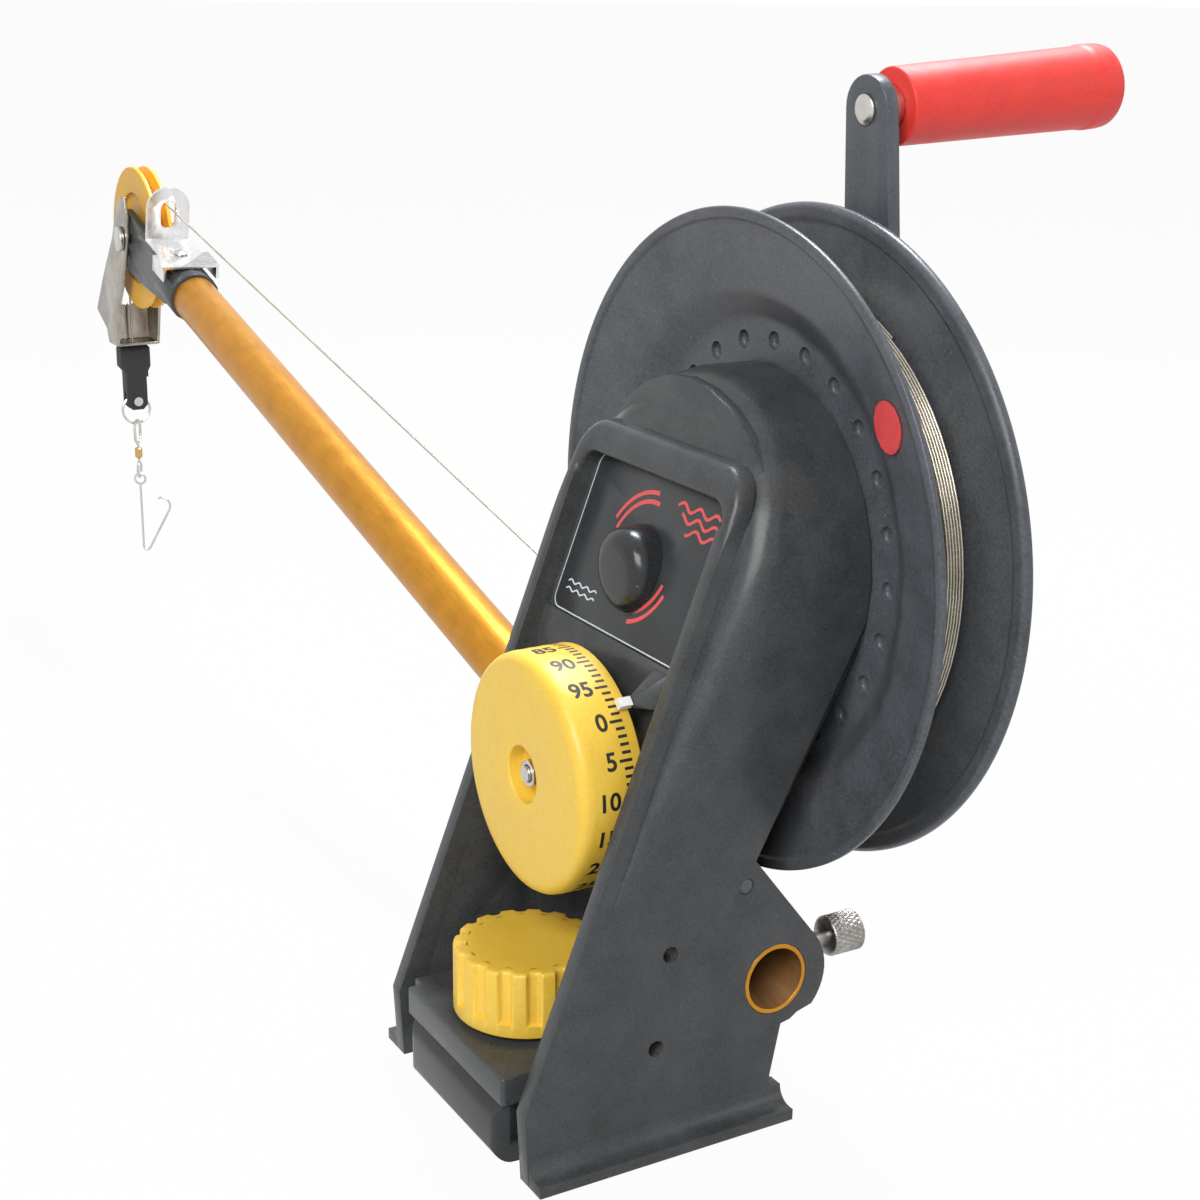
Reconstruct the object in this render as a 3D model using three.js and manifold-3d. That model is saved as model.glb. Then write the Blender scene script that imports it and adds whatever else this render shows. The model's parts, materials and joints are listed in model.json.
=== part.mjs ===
// A manual trolling downrigger: frame with a depth dial, a side-mounted cable spool with its crank,
// and a straight boom with a pulley head. Millimetres. +X runs along the spool's axle towards the
// crank, +Y runs outboard with the boom, +Z is up. The origin is the middle of the frame's
// footprint, on the surface that it is bolted to.
import * as THREE from 'three';
import Module from 'manifold-3d';
import { mergeVertices } from 'three/addons/utils/BufferGeometryUtils.js';
import { ConvexGeometry } from 'three/addons/geometries/ConvexGeometry.js';

// Shared clearances and mesh counts
const seatGap = 0.3;
const runGap = 0.4;
const overrun = 1;
const weld = 0.0005;
const rimSteps = 44;
const fineSteps = 28;
const roundSteps = 16;
const smallSteps = 10;
const wireSides = 6;
const dimpleSides = 6;
const cordSides = 6;
const hullSteps = 6;
const straightSteps = 6;
const wrapSteps = 12;

// Driving sizes of the frame
const axleHeight = 201;
const frameHalfWidth = 53.5;
const cheekWall = 6;
const footLength = 104;
const footReach = 8.5;
const footThickness = 4.2;
const footFillet = 6;
const rimRise = 40.5;
const rimWall = 6;
const rimCorner = 15;
const rimDrop = 3;
const recessCorner = 8;
const browDepth = 7;
const browLap = 0.6;
const frontAtAxle = 12.6;
const frontSlantShare = 0.38;
const toeHeight = 27;
const shellFront = 95;
const shellBackX = 37.5;
const shellBackZ = 102;
const cheekTopDrop = 51;
const neckX = 47;
const neckZ = 15;
const neckTop = 36;
const barrelRadius = 64.5;
const barrelBack = 72.5;
const barrelRound = 10;
const barrelWall = 4.5;
const faceDepth = 7.3;
const faceWall = 5.2;
const wellFace = 5.5;
const plateThickness = 0.95;
const plateInset = 3.3;
const plateDrop = 28.3;
const plateRise = 28.6;
const plateCorner = 5;
const floorThickness = 8.5;
const railHeight = 16.4;
const crossHoleRadius = 3.1;
const upperHoleX = 3.2;
const upperHoleZ = 74.3;
const lowerHoleX = -1.9;
const lowerHoleZ = 39.3;
const frontBossRadius = 8;
const frontBossReach = 5;
const frontBossInside = 28.4;
const diaphragmStart = 38;
const diaphragmThickness = 4;
const bearingBossRadius = 14;
const bearingBossEnd = 70;
const clickStart = 46;
const clickBossRadius = 5.2;
const clickBore = 3.1;
const clickSeat = 52;
const clickPinLength = 9;
const clickNoseRadius = 1.6;
const clickNose = 3;
const springWire = 0.35;
const springRadius = 2.2;
const springCurls = 5;

// Driving sizes of the spool and its cable
const spoolRadius = 119.5;
const spoolFront = 57.5;
const lipThickness = 2.4;
const lipWidth = 4;
const lipRound = 0.8;
const lipInner = 113;
const webThickness = 4;
const rimStep = 2.2;
const dishShoulder = 90.5;
const dishShoulderDepth = 7.2;
const dishInner = 79;
const dishDepth = 16;
const hubRadius = 22;
const hubFront = 72.3;
const hubBack = 99;
const rearFace = 33.4;
const rearRise = 1.6;
const rearWebRadius = 112.5;
const rearRimDrop = 1.4;
const rearPlane = 37.7;
const drumRadius = 79;
const drumWall = 3.5;
const drumWeb = 3.5;
const detentCount = 24;
const detentRing = 72.5;
const detentRadius = 2.4;
const detentDepth = 2.2;
const detentTurn = 0.75;
const markerRing = 100.5;
const markerRadius = 8.8;
const markerThickness = 0.6;
const markerTurn = 144.7;
const cableRadius = 0.6;
const coreRadius = 91;
const windSteps = 24;
const windSides = 5;
const windPitch = 1.68;
const windEnd = 24;
const windLoops = 3;

// Driving sizes of the axle, the crank and the grip
const axleRadius = 5;
const axleFrontRadius = 3;
const axleStart = 16;
const axleStep = 42;
const axleEnd = 132.5;
const sleeveRadius = 8;
const sleeveFront = 28.9;
const pinionEnd = 34.4;
const bushWall = 2;
const bushLength = 13;
const bushFlange = 1.8;
const bushFlangeReach = 3;
const capRadius = 15.5;
const capApex = 9.5;
const capDrop = 4.4;
const capRound = 7;
const crankFace = 118.8;
const crankLean = 3.5;
const crankThickness = 5.5;
const crankRadius = 151.5;
const crankTipRadius = 12;
const crankHubRadius = 16;
const crankBossRadius = 13;
const brakeRadius = 30;
const brakeThickness = 3;
const axleNutRadius = 9.5;
const axleNutThickness = 6;
const gripStart = 11.5;
const gripLength = 96.7;
const gripArmRadius = 13.9;
const gripRadius = 15.9;
const gripEndRadius = 15.3;
const gripLip = 9;
const gripRound = 3;
const gripEndWall = 5;
const pinRadius = 4;
const pinHeadRadius = 5.4;
const pinHeadThickness = 1.6;
const spacerRadius = 8;

// Driving sizes of the depth counter
const dialInset = 4;
const dialWidth = 24.5;
const dialFront = -26.5;
const dialDrop = 73.5;
const dialRound = 4;
const dialWall = 3.5;
const dialHubRadius = 9;
const dialRecess = 10.3;
const dialRecessDepth = 6;
const dialShaftRadius = 3;
const dialNutRadius = 5.4;
const dialNutThickness = 3.6;
const dialBushWall = 2;
const dialBushFlange = 2;
const dialBushReach = 4;
const toothModule = 1;
const pinionTeeth = 11;
const wheelTeeth = 55;
const smallTeeth = 8;
const dialTeeth = 80;
const toothFootShare = 0.28;
const tipShare = 0.7;
const rootShare = 1.1;
const wheelStart = 29.2;
const wheelThickness = 4;
const dialGearStart = 22;
const dialGearThickness = 4;
const dialGearHub = 7;
const idlerRadius = 1.8;
const idlerBossRadius = 5;
const idlerEnd = 36;
const pointerTurn = 133.6;
const pointerAir = 0.9;
const pointerThickness = 2.6;
const pointerWidth = 3.4;
const pointerReach = 4.6;
const pointerTipLength = 5;
const pointerFootHalf = 4.2;
const pointerFootDrop = 5;
const pointerFootRise = 7;
const trayThickness = 2.5;
const trayDepth = 18;
const traySeat = 100.8;
const trayScrewNearX = 34;
const trayScrewFarX = 20;
const trayScrewZ = 93;
const trayScrewRadius = 1.6;
const trayScrewHead = 2.8;
const trayScrewHeadDepth = 2;

// Driving sizes of the lock, the mounting base and the block between the cheeks
const knobX = -24.2;
const knobRadius = 26.8;
const knobHeight = 25;
const knobSkirt = 5;
const knobFlutes = 16;
const fluteRadius = 2.8;
const fluteDepth = 1.9;
const knobRound = 2.5;
const blockFront = -55.5;
const blockBack = 4.8;
const blockThickness = 11;
const blockInset = 7;
const blockCorner = 1.5;
const blockNotch = 5;
const baseFront = -55.5;
const baseBack = 46;
const baseHeight = 23;
const baseInset = 10;
const baseFlange = 7.5;
const baseFlangeReach = 8;
const baseFlangeFront = -44;
const baseNose = 8;
const baseNoseLow = 5;
const baseNoseSide = 7;
const boltHoleRadius = 3.4;
const boltHoleHead = 6.5;
const boltHoleHeadDepth = 6;
const boltHoleY = 27;
const boltHoleFront = -40;
const boltHoleBack = 30;
const studRadius = 4;
const studDepth = 16;
const washerThickness = 1.5;
const washerRadius = 9;

// Driving sizes of the boom and its head
const boomX = 48;
const boomRise = 15;
const boomAtMiddle = 68;
const boomRadius = 13;
const boomWall = 1.6;
const boomLength = 621;
const lugRadius = 18.5;
const cheekLugRadius = 21.5;
const nearLugFrom = 38;
const nearLugTo = -40;
const farLugFrom = 62;
const farLugTo = -28;
const nearLugDepth = 31;
const farLugDepth = 17;
const screwShankRadius = 3;
const screwHeadRadius = 7.6;
const screwHeadLength = 13.5;
const screwShankShows = 12.5;
const screwFromButt = 14;
const collarLength = 30;
const collarRadius = 14.8;
const plugLength = 24;
const pulleyFromTube = 95;
const pulleyRadius = 43;
const grooveRadius = 33.4;
const pulleyThickness = 11;
const grooveHalfWidth = 2.9;
const grooveFloor = 1;
const pulleyHubRadius = 9;
const pulleyWeb = 5;
const pulleyRim = 6;
const pulleyHubProud = 0.5;
const armGap = 1;
const armThickness = 4.5;
const armHubRadius = 18;
const armRoot = 11;
const armFlank = 17;
const armFlankBack = 26;
const boltRadius = 3;
const boltHeadRadius = 7.5;
const boltHeadThickness = 2.6;
const pulleyBushWall = 1.6;
const clevisThickness = 1.8;
const clevisReach = 61.3;
const clevisDrop = 69.8;
const clevisWebFrom = 20;
const clevisWebTo = 40;
const clevisBackDrop = 46;
const clevisHoleRadius = 1.6;
const guardStart = 8;
const guardFace = 53;
const guardHeight = 33;
const guardThickness = 1.8;
const guardHalfWidth = 13;
const guardCorner = 12.5;
const slotHalfWidth = 4.5;
const slotLow = 23;
const slotHigh = 40;
const guardRivetFromTube = 27;
const guardSkirtLow = 8;
const rivetRadius = 2;
const rivetHeadRadius = 4;
const rivetHeadThickness = 1.6;
const rivetDepth = 8;

// Driving sizes of the snubber and the line end
const snubberLength = 43;
const snubberBlock = 15;
const snubberHalfWidth = 9.5;
const snubberStep = 3.5;
const snubberNarrow = 6.5;
const snubberHalfDepth = 5;
const snubberRound = 3;
const snubberSlotHalf = 1.6;
const snubberSlotDepth = 11;
const snubberPinInset = 5.5;
const snubberPinRadius = 1.6;
const snubberPinHead = 3;
const snubberPinHeadThickness = 1.1;
const ringRadius = 9;
const ringWire = 0.85;
const eyeWire = 0.9;
const upperEyeHalf = 4.4;
const upperEyeLength = 15;
const eyeStem = 3;
const barrelHeadRadius = 2.4;
const barrelLength = 7;
const lowerEyeRadius = 4.8;
const snapWire = 0.75;
const snapEyeRadius = 3.4;
const snapLength = 52;
const snapBend = 2.2;
const snapReach = 18.7;
const snapReachDrop = 21.4;
const snapHookRadius = 5.5;
const snapHookSweep = 115;
const upperEyeTurn = 50;
const lowerEyeTurn = 60;
const snapTurn = -30;

// Places worked out from the driving sizes
const degree = Math.PI / 180;
const footHalf = footLength / 2;
const frameInner = frameHalfWidth - cheekWall;
const rimTop = axleHeight + rimRise;
const cheekTop = axleHeight - cheekTopDrop;
const plateHalfWidth = frameInner - plateInset;
const plateLow = axleHeight - plateDrop;
const plateHigh = axleHeight + plateRise;
const dialRadius = frameInner - dialInset;
const dialHeight = axleHeight - dialDrop;
const blockHalfWidth = frameInner - blockInset;
const baseHalfWidth = frameInner - baseInset;
const boomAngle = boomRise * degree;
const buttY = -frameHalfWidth - seatGap;
const buttZ = boomAtMiddle + buttY * Math.tan(boomAngle);
const frontLine = (z) => frontAtAxle + frontSlantShare * (z - axleHeight);
const faceLine = (z) => frontLine(z) + faceDepth;
const seatLine = (z) => faceLine(z) + plateThickness + seatGap;
const slantStretch = Math.hypot(1, frontSlantShare);
const backOfFace = (z) => seatLine(z) + faceWall * slantStretch;
const slantZ = (x) => axleHeight + (x - faceDepth - frontAtAxle) / frontSlantShare;
const pulleyAlong = boomLength + pulleyFromTube;
const pulleyY = buttY + pulleyAlong * Math.cos(boomAngle);
const pulleyZ = buttZ + pulleyAlong * Math.sin(boomAngle);
const pitchRadius = (teeth) => (toothModule * teeth) / 2;
const firstDistance = pitchRadius(pinionTeeth) + pitchRadius(wheelTeeth);
const secondDistance = pitchRadius(smallTeeth) + pitchRadius(dialTeeth);
const idlerDrop = (firstDistance ** 2 - secondDistance ** 2 + dialDrop ** 2) / (2 * dialDrop);
const idlerY = Math.sqrt(firstDistance ** 2 - idlerDrop ** 2);
const idlerZ = axleHeight - idlerDrop;
const trayHeadInner = frameHalfWidth - trayScrewHeadDepth - 2 * seatGap;
const railLow = baseFlange + seatGap;
const railInner = baseHalfWidth + seatGap;
const blockLow = railLow + railHeight + seatGap;
const blockTop = blockLow + blockThickness;
const windRadius = (coreRadius + seatGap + cableRadius) / Math.cos(Math.PI / windSteps);
const cableDropY = grooveRadius + cableRadius + seatGap;
const pulleyHubHalf = pulleyThickness / 2 + pulleyHubProud;
const leaveBearing = Math.atan2(pulleyZ - axleHeight, pulleyY);
const leaveReach = Math.asin((windRadius + cableDropY) / Math.hypot(pulleyZ - axleHeight, pulleyY));
const leaveTurn = leaveBearing + leaveReach - Math.PI / 2;
const crankFall = Math.tan(crankLean * degree);
const screwY = buttY + screwFromButt * Math.cos(boomAngle);
const screwZ = buttZ + screwFromButt * Math.sin(boomAngle);

const wasm = await Module();
wasm.setup();

const downrigger = new THREE.Group();
const boomHead = new THREE.Group();
boomHead.position.set(boomX, buttY, buttZ);
boomHead.rotation.x = boomAngle;
downrigger.add(boomHead);
const headEnd = new THREE.Group();
headEnd.position.set(boomX, pulleyY, pulleyZ);
downrigger.add(headEnd);

// Materials
const blackPlastic = new THREE.MeshStandardMaterial({ color: 0x35383a, roughness: 0.6, metalness: 0 });
const plateBlack = new THREE.MeshStandardMaterial({ color: 0x3c4143, roughness: 0.45, metalness: 0 });
const yellowPlastic = new THREE.MeshStandardMaterial({ color: 0xf4b51b, roughness: 0.45, metalness: 0 });
const whitePlastic = new THREE.MeshStandardMaterial({ color: 0xf1efea, roughness: 0.5, metalness: 0 });
const redMark = new THREE.MeshStandardMaterial({ color: 0xe24346, roughness: 0.6, metalness: 0 });
const redGrip = new THREE.MeshStandardMaterial({ color: 0xc8171d, roughness: 0.5, metalness: 0 });
const blackRubber = new THREE.MeshStandardMaterial({ color: 0x1b1c1c, roughness: 0.8, metalness: 0 });
const goldAnodised = new THREE.MeshStandardMaterial({ color: 0xdc9326, roughness: 0.35, metalness: 0.8 });
const stainless = new THREE.MeshStandardMaterial({ color: 0xc6c3bc, roughness: 0.3, metalness: 1 });
const blackCrank = new THREE.MeshStandardMaterial({ color: 0x2c2f31, roughness: 0.5, metalness: 0 });
const cableSteel = new THREE.MeshStandardMaterial({ color: 0xb9b1a0, roughness: 0.4, metalness: 0.9 });
const brass = new THREE.MeshStandardMaterial({ color: 0xb08d4a, roughness: 0.4, metalness: 0.9 });
const gearPlastic = new THREE.MeshStandardMaterial({ color: 0xe8e2d2, roughness: 0.6, metalness: 0 });

// A closed geometry as a solid that can be joined and cut
function solid(geometry) {
  const bare = geometry.clone();
  bare.deleteAttribute('normal');
  bare.deleteAttribute('uv');
  const merged = mergeVertices(bare, weld);
  const points = merged.attributes.position.array;
  const corners = [];
  const index = merged.index.array;
  let volume = 0;
  for (let i = 0; i < index.length; i += 3) {
    const [a, b, c] = [index[i], index[i + 1], index[i + 2]];
    if (a === b || b === c || c === a) continue;
    corners.push(a, b, c);
    const [pa, pb, pc] = [a, b, c].map((k) => new THREE.Vector3().fromArray(points, 3 * k));
    volume += pa.dot(pb.cross(pc));
  }
  if (volume < 0) {
    for (let i = 0; i < corners.length; i += 3) {
      [corners[i], corners[i + 1]] = [corners[i + 1], corners[i]];
    }
  }
  const mesh = new wasm.Mesh({
    numProp: 3,
    vertProperties: Float32Array.from(points),
    triVerts: Uint32Array.from(corners),
  });
  return new wasm.Manifold(mesh);
}

function geometryOf(body) {
  const mesh = body.getMesh();
  const geometry = new THREE.BufferGeometry();
  geometry.setAttribute('position', new THREE.BufferAttribute(Float32Array.from(mesh.vertProperties), 3));
  geometry.setIndex(new THREE.BufferAttribute(Uint32Array.from(mesh.triVerts), 1));
  geometry.computeVertexNormals();
  return geometry;
}

function join(...bodies) {
  return bodies.reduce((whole, body) => whole.add(body));
}

function cut(body, ...tools) {
  return tools.reduce((rest, tool) => rest.subtract(tool), body);
}

function place(name, body, material, parent = downrigger) {
  const mesh = new THREE.Mesh(geometryOf(body), material);
  mesh.name = name;
  parent.add(mesh);
  return mesh;
}

// Bodies turned about an axis: each profile point is [place along the axis, radius]
function turnX(profile, steps = roundSteps) {
  const points = profile.map(([along, radius]) => new THREE.Vector2(radius, along));
  return solid(new THREE.LatheGeometry(points, steps).rotateZ(-Math.PI / 2));
}

function turnY(profile, steps = roundSteps) {
  const points = profile.map(([along, radius]) => new THREE.Vector2(radius, along));
  return solid(new THREE.LatheGeometry(points, steps));
}

function turnZ(profile, steps = roundSteps) {
  const points = profile.map(([along, radius]) => new THREE.Vector2(radius, along));
  return solid(new THREE.LatheGeometry(points, steps).rotateX(Math.PI / 2));
}

const rod = (from, to, radius) => [[from, 0], [from, radius], [to, radius], [to, 0]];
const pipe = (from, to, inner, outer) => {
  return [[from, inner], [from, outer], [to, outer], [to, inner], [from, inner]];
};

function hexNut(from, to, bore, outer) {
  return cut(turnX(rod(from, to, outer), 6), turnX(rod(from - overrun, to + overrun, bore), smallSteps));
}

function outline(points) {
  return new THREE.Shape(points.map(([a, b]) => new THREE.Vector2(a, b)));
}

// An outline in X and Z, carried along Y
function slabY(shape, low, high) {
  const geometry = new THREE.ExtrudeGeometry(shape, { depth: high - low, bevelEnabled: false, curveSegments: 8 });
  return solid(geometry.rotateX(Math.PI / 2).translate(0, high, 0));
}

// An outline in Y and Z, carried along X
function slabX(shape, low, high) {
  const geometry = new THREE.ExtrudeGeometry(shape, { depth: high - low, bevelEnabled: false, curveSegments: 8 });
  const turn = new THREE.Matrix4().makeBasis(
    new THREE.Vector3(0, 1, 0),
    new THREE.Vector3(0, 0, 1),
    new THREE.Vector3(1, 0, 0),
  );
  return solid(geometry.applyMatrix4(turn).translate(low, 0, 0));
}

// An outline in X and Y, carried along Z
function slabZ(shape, low, high) {
  const geometry = new THREE.ExtrudeGeometry(shape, { depth: high - low, bevelEnabled: false, curveSegments: 8 });
  return solid(geometry.translate(0, 0, low));
}

function box(lowX, highX, lowY, highY, lowZ, highZ) {
  const geometry = new THREE.BoxGeometry(highX - lowX, highY - lowY, highZ - lowZ);
  return solid(geometry.translate((lowX + highX) / 2, (lowY + highY) / 2, (lowZ + highZ) / 2));
}

function arcPoints(centreA, centreB, radius, from, to, count) {
  const points = [];
  for (let i = 0; i <= count; i += 1) {
    const angle = (from + ((to - from) * i) / count) * degree;
    points.push([centreA + radius * Math.cos(angle), centreB + radius * Math.sin(angle)]);
  }
  return points;
}

// A spur gear about X: each tooth is a narrow wedge, thin enough to run free in its mate
function gearX(teeth, from, to, bore) {
  const tip = pitchRadius(teeth) + tipShare * toothModule;
  const root = pitchRadius(teeth) - rootShare * toothModule;
  const step = (2 * Math.PI) / teeth;
  const points = [];
  for (let i = 0; i < teeth; i += 1) {
    const middle = i * step;
    const foot = toothFootShare * step;
    for (const [radius, offset] of [[root, -foot], [tip, 0], [root, foot]]) {
      points.push([radius * Math.cos(middle + offset), radius * Math.sin(middle + offset)]);
    }
  }
  const shape = outline(points);
  const hole = new THREE.Path();
  hole.absarc(0, 0, bore, 0, 2 * Math.PI, true);
  shape.holes.push(hole);
  return slabX(shape, from, to);
}

// An outline with round ends or corners, as points
function roundedRectangle(lowA, highA, lowB, highB, radius) {
  return outline([
    ...arcPoints(highA - radius, highB - radius, radius, 0, 90, 6),
    ...arcPoints(lowA + radius, highB - radius, radius, 90, 180, 6),
    ...arcPoints(lowA + radius, lowB + radius, radius, 180, 270, 6),
    ...arcPoints(highA - radius, lowB + radius, radius, 270, 360, 6),
  ]);
}

// Turns a body made about the X axis at the origin onto the spool's axis
const onAxle = (body) => body.translate([0, 0, axleHeight]);
const onDial = (body) => body.translate([0, 0, dialHeight]);
const onIdler = (body) => body.translate([0, idlerY, idlerZ]);

// A rod along the boom's line, both ends cut off square, measured from the butt of the tube
function alongBoom(profile, steps = roundSteps) {
  return turnY(profile, steps).rotate([boomRise, 0, 0]).translate([boomX, buttY, buttZ]);
}

// The ring in front of and round the spool's rim that has to stay clear of the frame
function spoolRoom() {
  const front = spoolFront - 2 * runGap;
  return onAxle(turnX(pipe(front, spoolFront + rearPlane, dishShoulder, spoolRadius + 3 * runGap), rimSteps));
}

// Round each bearing the same ring of points at a given place along the axle
function ring(x, radius, count = fineSteps) {
  const points = [];
  for (let i = 0; i < count; i += 1) {
    const angle = (2 * Math.PI * i) / count;
    points.push(new THREE.Vector3(x, radius * Math.cos(angle), axleHeight + radius * Math.sin(angle)));
  }
  return points;
}

// The same ring, leaned so that it lies beside a slanted line through the front
function leanedRing(line, behind, radius, least = -footLength) {
  return ring(0, radius).map((point) => point.setX(Math.max(least, line(point.z) + behind)));
}

// The housing: a slanted rim at the front, and behind it a skin stretched to the round barrel,
// whose front end is the brow, a slanted face with a round edge
function housing() {
  const rim = [];
  const skin = ring(barrelBack, barrelRadius);
  const rimArc = arcPoints(frameHalfWidth - rimCorner, rimTop - rimCorner, rimCorner, 0, 90, hullSteps);
  for (const side of [-1, 1]) {
    for (const [a, z] of [...rimArc, [frameHalfWidth, shellFront]]) {
      rim.push(new THREE.Vector3(frontLine(z), side * a, z));
      rim.push(new THREE.Vector3(frontLine(z) + browDepth + browLap, side * a, z));
    }
    for (const [a, z] of rimArc) {
      skin.push(new THREE.Vector3(frontLine(z) + browDepth, side * a, z - rimDrop));
    }
    skin.push(new THREE.Vector3(frontLine(shellFront) + browDepth, side * frameHalfWidth, shellFront));
    skin.push(new THREE.Vector3(shellBackX, side * frameHalfWidth, shellBackZ));
  }
  for (const [behind, radius] of arcPoints(barrelRound, barrelRadius - barrelRound, barrelRound, 90, 180, 5)) {
    skin.push(...leanedRing(frontLine, browDepth + behind, radius));
  }
  return join(solid(new ConvexGeometry(rim)), solid(new ConvexGeometry(skin)));
}

// The space inside the housing: the same shape, drawn in by the wall and by the depth of the face
function housingRoom() {
  const points = [];
  const half = frameHalfWidth - rimWall;
  const high = rimTop - rimWall - recessCorner;
  for (const side of [-1, 1]) {
    for (const [a, z] of arcPoints(half - recessCorner, high, recessCorner, 0, 90, 4)) {
      points.push(new THREE.Vector3(backOfFace(z), side * a, z));
    }
    points.push(new THREE.Vector3(wellFace + faceWall, side * half, slantZ(wellFace)));
    points.push(new THREE.Vector3(wellFace + faceWall, side * half, shellFront - rimWall));
    points.push(new THREE.Vector3(shellBackX - cheekWall, side * half, shellFront - rimWall));
    points.push(new THREE.Vector3(shellBackX - cheekWall, side * half, shellBackZ));
  }
  const inner = barrelRadius - barrelWall;
  for (const [behind, radius] of arcPoints(barrelRound, inner - barrelRound, barrelRound, 90, 180, 2)) {
    points.push(...leanedRing(backOfFace, behind, radius, wellFace + faceWall));
  }
  points.push(...ring(barrelBack + overrun, inner));
  return solid(new ConvexGeometry(points));
}

// One cheek in side view: the slanted front edge, the foot, and the bulge that holds the boom
function cheekOutline(lugZ, from, to) {
  return outline([
    [frontLine(cheekTop), cheekTop],
    [frontLine(toeHeight), toeHeight],
    [-footHalf, 0],
    [neckX, 0],
    [neckX, neckZ],
    [neckX + footThickness, neckTop],
    ...arcPoints(boomX, lugZ, cheekLugRadius, to, from, 10),
    [shellBackX, shellBackZ],
    [shellBackX - rimWall, cheekTop],
  ]);
}

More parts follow.
